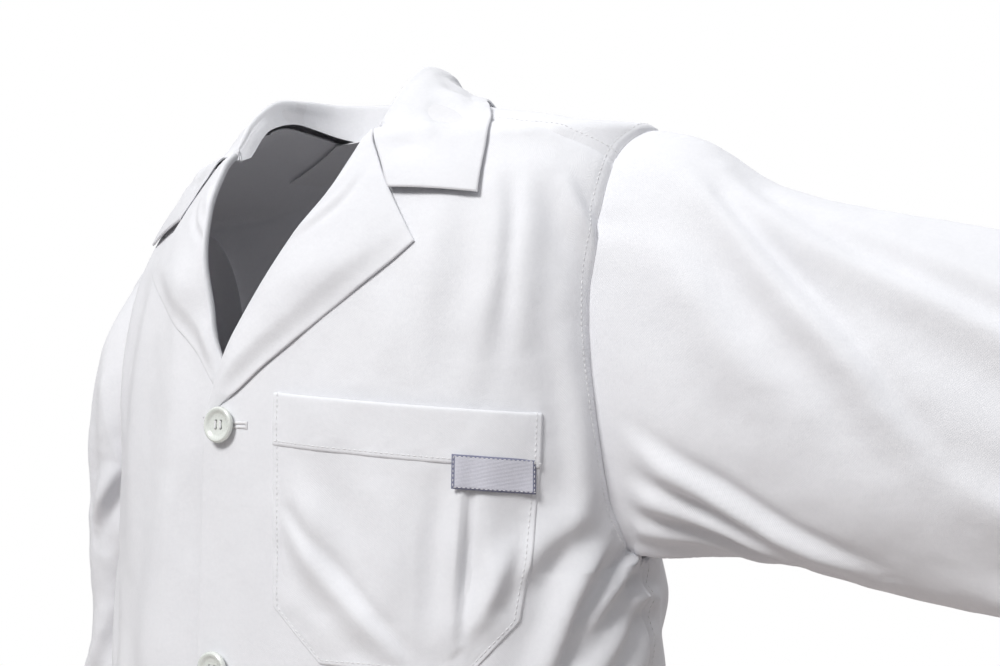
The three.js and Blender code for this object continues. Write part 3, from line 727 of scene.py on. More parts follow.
def makePanel(name, node, side, facing, sheet):
    base = mirrored(panelBase(side, facing), side)
    normals = torsoNormal(base)
    across = arcs(base, 1)
    inner, outer = across, across[:, -1:] - across
    along = arcs(base, 0)
    amount = clothOff + drape(base, normals, side)
    if side < 0 and facing < 0:
        amount = amount + sinkAt(hang(base))
    amount = amount + seamDip(outer) + puckered(base, outer, seam["topstitch"])
    top = along[-1:] - along
    amount = amount + seamDip(top) + puckered(base, top, seam["topstitch"]) * smoothStep(0, 12, top)
    if facing < 0:
        amount = amount + rimDrop(inner) + 0.9 * np.exp(-(inner / 9.0) ** 2) * (side > 0)
    else:
        amount = amount + seamDip(inner) * (base[..., 2] < -20) + puckered(base, inner, seam["topstitch"])
    hem = along - panel["hem"]
    amount = amount + 0.55 * smoothStep(1.0, -0.6, hem) - 0.35 * np.exp(-(hem / 1.0) ** 2)
    amount = amount + rimDrop(along) + 0.35 * np.exp(-(hem / 7.0) ** 2) * latticeNoise(base, (8, 8, 8), 31)
    points = hang(base + normals * amount[..., None])
    obj = makeSheet(name, points, awayFromAxis, cottonWhite)
    register(obj, sheet["body"], node)
    tops[name] = {"normals": normals, "inner": inner, "base": base}
    lifted = points + normals * stitchLift
    low = coat["armpitZ"] - 6
    body, stitched = sheet["body"], seam["topstitch"]
    sideRows = slice(None) if facing > 0 else base[:, -1, 2] > low
    sewLine(body, lifted[:, ::-1], normals[:, ::-1], outer[:, ::-1], stitched, sideRows)
    sewLine(body, swapped(lifted), swapped(normals), along.T, panel["hem"])
    if facing > 0:
        sewLine(body, swapped(lifted)[:, ::-1], swapped(normals)[:, ::-1], top.T[:, ::-1], stitched)
        if side > 0:
            sewLine(body, lifted, normals, inner, stitched)


makePanel("leftFront", "left_front", 1, -1, frontSheet)
makePanel("rightFront", "right_front", -1, -1, frontSheet)
makePanel("leftBack", "left_back", 1, 1, backSheet)
makePanel("rightBack", "right_back", -1, 1, backSheet)
print("panels ready")


def makeFacing(name, node, side):
    # the strip turned inside each front edge
    whole = tops["leftFront" if side > 0 else "rightFront"]
    rows = whole["base"][:, 0, 2] < -190
    columns = whole["inner"].mean(axis=0) < 66
    base, n = whole["base"][rows][:, columns], whole["normals"][rows][:, columns]
    inner = whole["inner"][rows][:, columns]
    free = inner[:, -1:] - inner
    amount = -0.35 + drape(base, n, side) + rimDrop(inner, -0.9) - 0.4 * rimDrop(free)
    if side < 0:
        amount = amount + sinkAt(hang(base))
    obj = makeSheet(name, hang(base + n * amount[..., None]), awayFromAxis, cottonShadedInside)
    register(obj, "coat_body", node)


makeFacing("leftFacing", "left_front_facing", 1)
makeFacing("rightFacing", "right_front_facing", -1)


def makeNeckFacing():
    rows = slice(-46, -14)
    left, right = tops["leftBack"], tops["rightBack"]
    columns = left["inner"].mean(axis=0) < 96
    base, n = (np.concatenate([right[key][rows][:, columns][:, ::-1], left[key][rows][:, columns][:, 1:]], axis=1)
               for key in ("base", "normals"))
    amount = np.where(base[..., 0] < 0, drape(base, n, -1), drape(base, n, 1)) - 0.4
    obj = makeSheet("backNeckFacing", hang(base + n * amount[..., None]), awayFromAxis, cottonShadedInside)
    register(obj, "coat_body", "back_neck_facing")


makeNeckFacing()

lapel = {"rows": 96, "columns": 46, "rollRadius": 2.8, "middle": 2.4, "puff": 2.4, "edgeLift": 4.1}


def makeLapel(name, node, side):
    roll, edge = [p for p in rollLine if p[1] < -33] + [[61, -33]], lapelEdge
    if side < 0:
        roll = [[8, -177]] + [p for p in rightRollLine[2:] if p[1] < -33] + [[61, -33]]
        edge = [[11, -194], [18, -185], [42, -161], [83, -131], [100, -118], [116, -106]]
    s = spaced(lapel["rows"], 210.0, edge=(0.0, 0.5, 1.2))
    r, e = pathCurve(roll)(s), pathCurve(edge)(s)
    inner = mirrored(torsoAt(r[:, 0], r[:, 1]), side)
    length = np.linalg.norm(torsoAt(e[:, 0], e[:, 1]) - mirrored(inner, side), axis=1)
    wrap = 11
    flatT = spaced(lapel["columns"] - wrap, 90.0)
    flatT[:3] = [0.0, 0.006, 0.015]
    x = mix(r[:, None, 0], e[:, None, 0], flatT[None])
    z = mix(r[:, None, 1], e[:, None, 1], flatT[None])
    top = mirrored(torsoAt(x, z), side)
    nTop = torsoNormal(top)
    narrow = smoothStep(0.0, 0.28, s)[:, None]
    radius = mix(1.3, lapel["rollRadius"], narrow)
    middle = mix(1.3, lapel["middle"], narrow)
    toEdge = np.minimum((1 - flatT[None]) * length[:, None], s[:, None] * 1e3)
    toTop = (1 - s[:, None]) * 200.0
    puff = lapel["puff"] * narrow * smoothStep(1.0, 0.7, s)[:, None]
    lie = middle + radius + puff * np.sin(np.pi * np.clip(flatT[None] * 0.92, 0, 1)) ** 1.5
    lie = mix(lie, np.minimum(lie, lapel["edgeLift"]), smoothStep(16, 3, toEdge))
    lie = lie + rimDrop(toEdge, 0.9) + rimDrop(toTop, 0.9)
    creases = [
        ([(66, -66, -67), (57, -78, -82), (37, -94, -95)], 3.2, 0.9, 0.3),
        ([(62, -70, -58), (50, -84, -76), (34, -96, -86)], 3.0, 0.7, -0.2),
        ([(88, -90, -110), (60, -100, -120), (34, -104, -128)], 12, 0.8, 0.0),
    ]
    lie = lie + foldField(mirrored(top, side), mirrored(nTop, side), creases)
    outwardWay = unit(inner - top[:, -1])
    turn = np.linspace(0, math.pi, wrap, endpoint=False)
    off = middle - radius * np.cos(turn)[None]
    shift = radius * np.sin(turn)[None]
    nInner = torsoNormal(inner)
    flatWay = unit(outwardWay - nInner * np.einsum("ij,ij->i", outwardWay, nInner)[:, None])
    wrapped = inner[:, None] + flatWay[:, None] * shift[..., None]
    base = np.concatenate([wrapped, top], axis=1)
    n = np.concatenate([np.repeat(nInner[:, None], wrap, axis=1), nTop], axis=1)
    amount = np.concatenate([off, lie], axis=1)
    shared = np.concatenate([np.repeat(inner[:, None], wrap, axis=1), top], axis=1)
    amount = amount + drape(shared, n, side)
    if side < 0:
        amount = amount + sinkAt(hang(shared)) - 1.6 * smoothStep(0.16, 0.0, s)[:, None]
    points = hang(base + n * amount[..., None])
    obj = makeSheet(name, points, awayFromAxis, cottonWhite, thick=0.9)
    register(obj, "coat_body", node)


makeLapel("leftLapel", "left_lapel", 1)
makeLapel("rightLapel", "right_lapel", -1)
print("lapels ready")

collar = {
    "fold": [[64, -63, -24], [67, -46, 0], [66, -15, 20], [59, 24, 24], [36, 52, 24], [0, 63, 22]],
    "base": [[58, -54, -29], [60, -32, -5], [60, 0, 4], [51, 29, -1], [28, 48, -7], [0, 56, -11]],
    "edge": [[144, -80, -79], [132, -48, -31], [103, -4, -7], [88, 44, -11], [52, 84, -25], [0, 96, -30]],
    "notch": [90, -87, -73], "gorge": [59.5, -62, -32.5],
    "bulge": 3.0, "hollow": -6.0, "clear": 6.9, "foldRadius": 3.0, "tipRows": 26, "roundRows": 150, "columns": 64,
}


def wholeRound(half):
    return np.array(half + [[-x, y, z] for x, y, z in half[-2::-1]], float)


def clearOfTorso(p, clearance, hold):
    for _ in range(5):
        f = outsideness(p) - 1
        slope = outsideSlope(p) / 1.2
        size = np.linalg.norm(slope, axis=-1)
        lack = np.clip(clearance - f / np.maximum(size, 1e-6), -6 * hold, 6)
        p = p + (slope / np.maximum(size, 1e-6)[..., None]) * lack[..., None]
    return p


def collarStations():
    n = collar["roundRows"]
    s = np.linspace(0, 1, n)
    fold = pathCurve(wholeRound(collar["fold"]))(s)
    base = pathCurve(wholeRound(collar["base"]))(s)
    edge = pathCurve(wholeRound(collar["edge"]))(s)
    t = spaced(collar["tipRows"], 44.0, far=False)[:-1][:, None]
    ends = []
    for side in (1, -1):
        flip = np.array([side, 1, 1])
        gorge, notch = np.array(collar["gorge"]) * flip, np.array(collar["notch"]) * flip
        first = 0 if side > 0 else -1
        ends.append((mix(gorge, fold[first], t), mix(gorge, base[first], t), mix(notch, edge[first], t)))
    fold = np.concatenate([ends[0][0], fold, ends[1][0][::-1]])
    base = np.concatenate([ends[0][1], base, ends[1][1][::-1]])
    edge = np.concatenate([ends[0][2], edge, ends[1][2][::-1]])
    return fold, base, edge


def collarGrid(startT, endT, columns, inset=0.0):
    # each station runs up the inside of the stand, over the fold and down the leaf
    fold, base, edge = collarStations()
    rows = len(fold)
    down = np.array([0, 0, 1.0])
    flat = unit((edge - fold) * np.array([1, 1, 0.0]))
    edge = edge - unit(edge - fold) * inset
    tips = collar["tipRows"] - 1
    away = np.arange(rows)
    fromEnd = np.minimum(away, rows - 1 - away)
    raised = np.interp(fromEnd, [0, 2, 8], [0.0, 0.75, 1.0])
    shoulder = smoothStep(tips + 1, tips + 9, fromEnd)
    outward = unit(np.stack([edge[:, 0], edge[:, 1], np.full(rows, 45.0)], axis=-1))
    tight = np.interp(fromEnd, [0, tips, tips + 5], [0.05, 0.5, 1.0])[:, None]
    r = collar["foldRadius"] * tight
    stops = [base, mix(base, fold, 0.5) - flat * 0.3 * r, fold - flat * r - down * 5.0 * tight,
             fold - flat * 0.75 * r - down * 1.4 * tight, fold + down * 0.6 * tight,
             fold + flat * 0.8 * r - down * 1.2 * tight]
    for t in (0.14, 0.28, 0.44, 0.6, 0.76, 0.9, 1.0):
        swell = math.sin(math.pi * min(t * 0.94, 1.0)) ** 1.3
        bulge = (collar["bulge"] + collar["hollow"] * shoulder[:, None]) * swell * raised[:, None]
        stops.append(mix(fold, edge, t) + outward * bulge + flat * 0.5 * r * (1 - t))
    stops = np.stack(stops, axis=1)
    clear = (mix(6.6, collar["clear"], raised) - 1.8 * shoulder)[:, None] * np.ones((1, 7))
    stops[:, 6:] = clearOfTorso(stops[:, 6:], clear, np.array([0, 0, 0, 0, 0.3, 0.8, 1.0]))
    steps = np.linalg.norm(np.diff(stops, axis=1), axis=-1).mean(axis=0)
    places = np.concatenate([[0], np.cumsum(steps)])
    places = places / places[-1]
    want = startT + (endT - startT) * columns
    grid = np.empty((rows, len(want), 3))
    for i in range(rows):
        for k in range(3):
            grid[i, :, k] = tableCurve(places, stops[i, :, k])(want)
    # a light smoothing along the collar removes the faceting of the stations
    inside = slice(tips + 2, rows - tips - 2)
    for _ in range(4):
        soft = grid.copy()
        soft[1:-1] = 0.25 * grid[:-2] + 0.5 * grid[1:-1] + 0.25 * grid[2:]
        grid[inside] = soft[inside]
    n = gridNormals(grid)
    if n[rows // 2, -4] @ np.array([0, 1.0, 0.6]) < 0:
        n = -n
    return grid, n, want


collarFolds = [
    ([(72, -50, -6), (92, -52, -14), (118, -56, -26)], 10, -2.2, 0.0),
    ([(70, -62, -28), (84, -70, -38), (96, -78, -50)], 8, -1.2, 0.0),
    ([(80, -30, 8), (98, -20, 0), (110, -8, -6)], 9, -1.4, 0.2),
]


def makeCollar():
    columns = spaced(collar["columns"], 84.0)
    grid, n, want = collarGrid(0.0, 1.0, columns)
    toEdge = (arcs(grid, 1)[:, -1:] - arcs(grid, 1))
    toEnd = np.minimum(arcs(grid, 0), arcs(grid, 0)[-1:] - arcs(grid, 0))
    leaf = smoothStep(0.42, 0.6, want)[None]
    amount = rimDrop(toEdge, 1.0) + rimDrop(toEnd, 0.9) * leaf
    amount = amount + 0.5 * latticeNoise(grid, (30, 30, 30), 12) + 0.2 * latticeNoise(grid, (10, 10, 10), 13)
    both = np.stack([np.abs(grid[..., 0]), grid[..., 1], grid[..., 2]], axis=-1)
    amount = amount + foldField(both, n * np.sign(grid[..., :1] + 1e-6), collarFolds) * leaf
    points = hang(grid + n * amount[..., None])
    obj = makeSheet("upperCollar", points, lambda p: p * 0 + np.array([0, 0, 1.0]), cottonWhite)
    register(obj, "coat_body", "upper_collar")
    under, nUnder, _ = collarGrid(0.47, 1.0, spaced(34, 50.0), inset=1.6)
    points = hang(under - nUnder * 1.25)
    obj = makeSheet("underCollar", points, lambda p: p * 0 + np.array([0, 0, 1.0]), cottonShadedInside, thick=0.8)
    register(obj, "coat_body", "under_collar")
    stand, nStand, _ = collarGrid(0.02, 0.40, spaced(24, 30.0))
    points = hang(stand - nStand * 1.25)
    obj = makeSheet("collarStand", points, awayFromAxis, cottonShadedInside, thick=0.8)
    register(obj, "coat_body", "collar_stand")


makeCollar()
print("collar ready")

pocketLook = {
    "edgeLift": 2.95, "puff": 1.9, "chestGape": 1.0, "hipGape": 2.2, "columns": 72,
    "stitch": 3.4, "bottomStitch": 3.6, "bandStitch": 2.6,
}
pocketFolds = [
    ([(37, -112, -254), (74, -113, -290), (104, -112, -318), (120, -110, -334)], 6, 1.9, 0.35),
    ([(46, -112, -240), (70, -113, -262), (92, -113, -284)], 9, 1.0, 0.0),
    ([(150, -102, -226), (148, -103, -262), (145, -104, -322)], 4.5, 2.4, 0.45),
    ([(160, -100, -250), (166, -97, -285), (160, -100, -322)], 7, 1.3, -0.2),
    ([(58, -113, -224), (62, -113, -262), (66, -113, -310)], 12, 0.9, 0.0),
    ([(176, -92, -262), (166, -96, -290), (150, -102, -318)], 6, 1.4, 0.3),
    ([(104, -112, -232), (110, -112, -268), (112, -111, -312)], 14, 1.2, 0.1),
]


def pocketSurface(outline, side, zs, ts):
    rows = np.array(outline, float)
    start = np.interp(zs, rows[:, 0], rows[:, 1])
    end = np.interp(zs, rows[:, 0], rows[:, 2])
    tilt = np.interp(zs, rows[:, 0], rows[:, 3])
    x = mix(start[:, None], end[:, None], ts[None])
    z = zs[:, None] + tilt[:, None] * ts[None]
    left = torsoAt(x, z)
    base = mirrored(left, side)
    n = torsoNormal(base)
    across, along = arcs(base, 1), arcs(base, 0)
    sides = np.minimum(across, across[:, -1:] - across)
    return base, n, sides, along, z


def makePocket(name, node, outline, side, folds, gape, noiseSeed):
    zs = np.concatenate([[outline[0][0], outline[0][0] + 0.6, outline[0][0] + 1.6],
                         np.linspace(outline[0][0] + 4, outline[-1][0], 70)])
    across = spaced(pocketLook["columns"], 150.0)
    base, n, sides, along, z = pocketSurface(outline, side, zs, across)
    toTop = along[-1:] - along
    bottom = np.where(along < 40, np.minimum(sides, along), sides)
    # the clipped corners count as edges too
    corner = (outline[1][0] - z) * 0.62
    bottom = np.minimum(bottom, np.maximum(0, np.where(corner > 0, sides, 1e3)))
    loose = smoothStep(1, 26, bottom)
    amount = pocketLook["edgeLift"] + pocketLook["puff"] * loose + drape(base, n, side)
    amount = amount + gape * smoothStep(46, 0, toTop) * np.sin(np.pi * across)[None] ** 0.8
    if folds:
        amount = amount + foldField(mirrored(base, side), mirrored(n, side), folds) * smoothStep(0, 9, bottom)
    amount = amount + 0.6 * loose * latticeNoise(base, (20, 20, 34), noiseSeed)
    amount = amount + rimDrop(bottom, 0.8) + puckered(base, bottom, pocketLook["stitch"])
    points = hang(base + n * amount[..., None])
    obj = makeSheet(name, points, awayFromAxis, cottonWhite)
    register(obj, "coat_body", node)
    lifted = points + n * stitchLift
    for grid, nn, distance in ((lifted, n, arcs(base, 1)),
                               (lifted[:, ::-1], n[:, ::-1], arcs(base[:, ::-1], 1))):
        sewLine("coat_body", grid, nn, distance, pocketLook["stitch"], slice(2, None))
    sewLine("coat_body", swapped(lifted), swapped(n), along.T, pocketLook["bottomStitch"], slice(3, -3))
    # the turned band along the mouth
    topZ = outline[-1][0]
    bandZ = np.concatenate([[topZ - 30, topZ - 29.4, topZ - 28.4], np.linspace(topZ - 26, topZ - 1.6, 16),
                            [topZ - 0.5, topZ]])
    bandBase, bandN, bandSides, bandAlong, _ = pocketSurface(outline, side, bandZ, across)
    bandTop = bandAlong[-1:] - bandAlong
    under = np.stack([np.interp(bandZ, zs, column) for column in amount.T], axis=1)
    band = under + 1.0 + rimDrop(bandAlong, 0.75) + rimDrop(bandTop, 0.9) + rimDrop(bandSides, 0.4)
    band = band + puckered(bandBase, bandAlong, pocketLook["bandStitch"])
    bandPoints = hang(bandBase + bandN * band[..., None])
    obj = makeSheet(name + "Band", bandPoints, awayFromAxis, cottonWhite)
    register(obj, "coat_body", node + "_hem")
    lifted = bandPoints + bandN * stitchLift
    sewLine("coat_body", swapped(lifted), swapped(bandN), bandAlong.T, pocketLook["bandStitch"])
    for grid, nn, distance in ((lifted, bandN, arcs(bandBase, 1)),
                               (lifted[:, ::-1], bandN[:, ::-1], arcs(bandBase[:, ::-1], 1))):
        sewLine("coat_body", grid, nn, distance, pocketLook["stitch"])
    tops[name] = {"zs": zs, "amount": amount, "base": base}


# height, inner edge, outer edge and how far the outer end drops
chestOutline = [(-337, 68, 150, 0), (-308, 36, 173, 0), (-270, 35, 177, -7), (-229, 34, 180, -11),
                (-187, 33, 181, -13)]
hipOutline = [(-770, 76, 182, 0), (-744, 52, 204, 0), (-700, 51, 203, 0), (-640, 50, 201, 0), (-590, 50, 199, 0),
              (-560, 50, 198, 0)]
makePocket("chestPocket", "chest_pocket", chestOutline, 1, pocketFolds, pocketLook["chestGape"],
           51)
for side, word, noiseSeed in ((1, "left", 52), (-1, "right", 53)):
    makePocket(f"{word}HipPocket", f"{word}_hip_pocket", hipOutline, side, (), pocketLook["hipGape"],
               noiseSeed)
print("pockets ready")


tab = {"wide": 42.0, "high": 18.0, "x": 161.0, "z": -231.0, "slant": 0.085, "lift": 3.3, "pocketShift": 7.2}
tabStitch = {"pitch": 2.4, "length": 1.8, "width": 0.45, "height": 0.4}


def makeTab():
    # the small woven tab on the chest pocket
    wide, high = tab["wide"], tab["high"]
    middleX, middleZ = tab["x"], tab["z"]
    angles = np.linspace(float(angleFromX(120, middleZ, -1)), float(angleFromX(196, middleZ, -1)), 200)
    ring = torsoPoint(angles, middleZ + 0 * angles)
    lengths = lengthsAlong(ring)
    centre = np.interp(middleX, ring[:, 0], lengths)
    u = np.linspace(-wide / 2, wide / 2, 43)
    v = np.linspace(0, high, 19)
    x = np.interp(centre + u, lengths, ring[:, 0])
    z = middleZ - high / 2 + v[:, None] - tab["slant"] * u[None]
    base = torsoAt(np.repeat(x[None], len(v), 0), z)
    n = torsoNormal(base)
    pocket = tops["chestPocket"]
    zs = pocket["zs"]
    under = np.empty(z.shape)
    for i in range(z.shape[0]):
        for j in range(z.shape[1]):
            row = int(np.argmin(np.abs(zs + tab["pocketShift"] - z[i, j])))
            under[i, j] = np.interp(x[j], pocket["base"][row, :, 0], pocket["amount"][row])
    smooth = under
    for _ in range(20):
        padded = np.pad(smooth, 1, mode="edge")
        smooth = (padded[:-2, 1:-1] + padded[2:, 1:-1] + padded[1:-1, :-2] + padded[1:-1, 2:]) / 4
    rim = np.minimum(np.minimum(u[None] + wide / 2, wide / 2 - u[None]), np.minimum(v[:, None], high - v[:, None]))
    amount = smooth + tab["lift"] + rimDrop(rim, 0.7)
    points = hang(base + n * amount[..., None])
    uvs = np.stack(np.meshgrid(u, v), axis=-1)
    obj = makeSheet("wovenTab", points, awayFromAxis, woven, thick=0.7, uvs=uvs)
    register(obj, "coat_body", "woven_label")
    lifted = points + n * 0.1
    for line, nn in ((lifted[1], n[1]), (lifted[-2], n[-2]), (lifted[:, 1], n[:, 1]), (lifted[:, -2], n[:, -2])):
        sew("coat_body", line, nn, tabStitch)


makeTab()

sleeve = {
    "left": [[0, 118, 51], [24, 112, 53], [60, 99, 55], [110, 95, 56], [170, 91, 55], [265, 84, 52],
             [305, 81, 50], [345, 78, 48], [385, 75, 46], [490, 68, 41], [600, 62, 34]],
    "dip": math.radians(12), "split": 285.0, "hemOff": 2.35, "columns": 230,
    "right": [[-232, -58, -212, -286, 60, 1], [-238, -66, -213, -288, 62, 2], [-260, -106, -215, -294, 68, 8],
              [-269, -158, -216, -302, 72, 15], [-280, -225, -216, -316, 75, 23], [-291, -300, -216, -334, 76, 30],
              [-298, -350, -217, -350, 74, 33], [-302, -395, -219, -395, 73, 35], [-304, -428, -221, -428, 71, 35],
              [-304, -460, -223, -460, 69, 34], [-295, -545, -224, -545, 64, 28], [-291, -628, -228, -628, 57, 20]],
}
sleeveTurns = np.linspace(0, 2 * math.pi, sleeve["columns"] + 1)


def leftAt(s, turn):
    table = np.array(sleeve["left"], float)
    high, deep = tableCurve(table[:, 0], table[:, 1])(s), tableCurve(table[:, 0], table[:, 2])(s)
    dip = sleeve["dip"]
    axis, up = np.array([math.cos(dip), 0, -math.sin(dip)]), np.array([math.sin(dip), 0, math.cos(dip)])
    centre = np.array([214.0, 0, -166.0]) + np.asarray(s)[..., None] * axis
    return centre + up * (high * np.sin(turn))[..., None] - np.array([0, 1.0, 0]) * (deep * np.cos(turn))[..., None]


rightTable = np.array(sleeve["right"], float)
rightMiddle = (rightTable[:, 0:2] + rightTable[:, 2:4]) / 2
rightPlaces = lengthsAlong(rightMiddle)


def rightAt(s, turn):
    outerX, outerZ, innerX, innerZ, deep, behind = [
        tableCurve(rightPlaces, rightTable[:, k])(s) for k in range(6)]
    centre = np.stack([(outerX + innerX) / 2, behind, (outerZ + innerZ) / 2], axis=-1)
    up = np.stack([(outerX - innerX) / 2, 0 * outerX, (outerZ - innerZ) / 2], axis=-1)
    return centre + up * np.sin(turn)[..., None] - np.array([0, 1.0, 0]) * (deep * np.cos(turn))[..., None]


def onSleeve(side, places):
    # fold paths given as distance along the sleeve and turn round it
    s, turn = np.array([p[0] for p in places], float), np.radians([p[1] for p in places])
    return (leftAt if side > 0 else rightAt)(s, turn)


leftSleeveFolds = [
    ([(6, 66), (30, 50), (60, 39), (84, 28), (113, 16), (130, 8), (148, -3), (170, -12)], 7, 3.0, 0.35),
    ([(30, 66), (62, 54), (99, 43), (153, 33), (215, 22), (300, 10)], 8, 2.8, 0.3),
    ([(60, 62), (120, 54), (200, 40), (290, 30), (380, 24)], 12, 2.2, 0.1),
    ([(10, 40), (34, 22), (66, 6), (100, -8)], 12, 1.8, 0.2),
    ([(8, -22), (42, -32), (68, -40), (99, -50), (150, -62)], 7, 4.0, 0.4),
    ([(10, -38), (47, -48), (78, -56), (120, -70)], 6.5, 3.8, 0.3),
    ([(8, -52), (36, -60), (62, -68), (100, -84)], 6, 3.4, 0.2),
    ([(8, -68), (40, -78), (84, -94)], 6.5, 3.0, -0.2),
    ([(14, -104), (60, -112), (110, -126), (150, -140)], 8, 3.4, 0.2),
    ([(30, -140), (80, -150), (140, -164)], 9, 3.0, 0.2),
    ([(40, 120), (90, 130), (150, 140), (230, 150)], 12, 2.6, 0.1),
    ([(170, -16), (205, -22), (250, -24), (300, -16)], 10, 2.2, 0.2),
    ([(190, -60), (240, -58), (300, -46), (350, -34)], 10, 2.4, 0.2),
    ([(310, 30), (345, 12), (380, -4), (410, -26)], 7, 3.0, 0.3),
    ([(330, 60), (370, 44), (410, 26), (440, 6)], 8, 2.6, 0.2),
    ([(300, -60), (340, -50), (380, -52)], 7, 2.6, -0.2),
    ([(420, -10), (470, 6), (530, 12)], 10, 2.4, 0.2),
    ([(470, 70), (520, 60), (575, 58)], 10, 2.0, 0.0),
    ([(330, 160), (380, 176), (430, 190)], 9, 2.6, 0.2),
    ([(450, -130), (520, -140), (580, -146)], 11, 2.2, 0.1),
]
rightSleeveFolds = [
    ([(10, 70), (60, 62), (120, 56), (190, 50)], 9, 2.6, 0.3),
    ([(20, 40), (60, 32), (110, 26), (170, 24)], 9, 2.2, 0.2),
    ([(14, 100), (60, 104), (130, 110), (200, 116)], 10, 2.4, 0.1),
    ([(20, -30), (56, -22), (96, -8), (130, 8)], 7, 3.0, 0.3),
    ([(24, -52), (60, -44), (100, -34), (140, -30)], 6, 3.0, 0.3),
    ([(16, -120), (60, -130), (110, -150)], 8, 3.0, 0.2),
    ([(180, -20), (215, 0), (245, 22), (265, 44)], 9, 2.2, 0.2),
    ([(205, -44), (240, -22), (268, 0), (292, 26)], 9, 2.0, 0.2),
    ([(170, 60), (215, 70), (260, 74), (310, 70)], 10, 2.6, 0.2),
    ([(230, 20), (270, 36), (300, 56)], 6, 2.8, -0.3),
    ([(190, 140), (240, 150), (290, 168)], 9, 2.8, 0.2),
    ([(300, -10), (350, 0), (410, 4)], 10, 2.2, 0.1),
    ([(320, 60), (380, 66), (450, 62)], 10, 2.4, 0.1),
    ([(380, -50), (440, -44), (500, -40)], 11, 2.0, 0.0),
    ([(330, 200), (400, 206), (470, 210)], 12, 2.4, 0.1),
]


def armholeEdge(turn, side):
    # the finished armhole on the panels, so that the sleeve starts in the seam
    angle, z = armholeAt(turn)
    angle = np.where(np.abs(angle) < 1e-7, 1e-7, angle)
    base = mirrored(torsoPoint(angle, z), side)
    n = torsoNormal(base)
    return base, n, clothOff - seam["dip"] - 0.6 + drape(base, n, side)


def makeSleeve(side):
    at = leftAt if side > 0 else rightAt
    folds = leftSleeveFolds if side > 0 else rightSleeveFolds
    whole = 600.0 if side > 0 else rightPlaces[-1]
    if side > 0:
        split = sleeve["split"]
    else:
        split = float(np.interp(375, -rightMiddle[:, 1], rightPlaces))
    upper = np.concatenate([[0, 0.8, 1.8, 3.0, 4.4], np.linspace(6.5, split, 84)])
    lower = np.concatenate([np.linspace(split, whole - 3.5, 92), [whole - 2.0, whole - 0.9, whole - 0.3, whole]])
    s = np.concatenate([upper, lower[1:]])
    turn = sleeveTurns
    S, T = np.meshgrid(s, turn, indexing="ij")
    base = at(S, T)
    baseNormals = tubeNormals(base)
    n = baseNormals
    amount = clothOff + foldField(base, n, [(onSleeve(side, p), w, h, l) for p, w, h, l in folds])
    amount = amount + 1.3 * latticeNoise(base, (70, 40, 40) if side > 0 else (40, 40, 70), 61)
    amount = amount + 0.5 * latticeNoise(base, (20, 20, 20), 62) + 0.2 * latticeNoise(base, (8, 8, 8), 63)
    # fullness of the sleeve head along the top of the armhole
    cap = np.clip(np.sin(T), 0, 1) ** 0.7
    amount = amount + 1.0 * cap * np.exp(-((S - 12) / 8.0) ** 2)
    ease = 0.4 * np.sin(T * 26 + 0.9 * np.sin(5 * T)) * cap
    amount = amount + ease * np.exp(-((S - 8) / 7.0) ** 2)
    hem = whole - S
    amount = amount + 0.6 * smoothStep(26, 24.4, hem) - 0.4 * np.exp(-((hem - 25) / 1.0) ** 2) + rimDrop(hem)
    amount = amount + 0.35 * np.exp(-((hem - 25) / 6.0) ** 2) * latticeNoise(base, (7, 7, 7), 64)
    under = np.abs((T % (2 * math.pi)) - 1.5 * math.pi) * 70.0
    amount = amount - 0.8 * np.exp(-(under / 2.2) ** 2)
    points = base + n * amount[..., None]
    edgeBase, edgeN, edgeOff = armholeEdge(turn, side)
    edge = edgeBase + edgeN * edgeOff[:, None]
    easing = 16 + (34 if side > 0 else 10) * np.abs(np.cos(T)) ** 1.5
    start = smoothStep(0, 1, S / easing)[..., None]
    inward = np.array([side * 1.0, 0, 0]) * np.minimum(S, easing)[..., None]
    points = mix(edge[None] + inward, points, start)
    points = hang(points)
    n = tubeNormals(points)
    word = "left" if side > 0 else "right"
    cut = len(upper)
    uvs = np.stack([np.broadcast_to(turn[None] * 80.0, S.shape), S], axis=-1)

    def outward(p):
        if side > 0:
            t = np.clip((p[..., 0] - 222) / 587.0, 0, 1)
            middle = np.stack([p[..., 0], 0 * t, -166 - 125 * t], axis=-1)
        else:
            t = np.clip((-p[..., 2] - 100) / 500.0, 0, 1)
            middle = np.stack([np.full(t.shape, -252.0), 86 * np.ones_like(t), p[..., 2]], axis=-1)
        return p - middle

    halves = [("SleeveUpper", 0, cut, ["sleeve_head", "upper_sleeve"], ("coat_body", word + "_upper_arm")),
              ("SleeveLower", cut - 1, len(s), ["elbow", "lower_sleeve"], (word + "_upper_arm", word + "_forearm"))]
    if side > 0:
        ranges = [((0.236, 0, -0.2), (0.375, 0, -0.2)), ((0.5008, 0, -0.2283), (0.579, 0, -0.2419))]
    else:
        ranges = [((-0.175, 0, -0.3031), (-0.2165, 0, -0.375)), ((0, 0, -0.375), (0, 0, -0.447))]
    for (ending, a, b, nodes, bodies), (begin, stop) in zip(halves, ranges):
        obj = makeSheet(word + ending, points[a:b], outward, cottonWhite, closed=True, uvs=uvs[a:b])
        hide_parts(*[word + "_" + node for node in nodes])
        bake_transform(obj)
    lining = hang(base + baseNormals * (amount - sleeve["hemOff"])[..., None])[-14:]
    obj = makeSheet(word + "CuffHem", lining, outward, cottonShadedInside, closed=True, uvs=uvs[-14:], thick=0.8)
    register(obj, word + "_forearm", word + "_cuff_hem")
    ring = np.stack([[np.interp(whole - 25, s, points[:, j, k]) for k in range(3)] for j in range(len(turn))])
    ringN = np.stack([[np.interp(whole - 25, s, n[:, j, k]) for k in range(3)] for j in range(len(turn))])
    sew(word + "_forearm", ring + ringN * stitchLift, ringN)


makeSleeve(1)
makeSleeve(-1)
print("sleeves ready")


hanger = {"half": 34, "top": -30, "middle": -34, "high": 8, "bow": 14.5, "thick": 1.2}


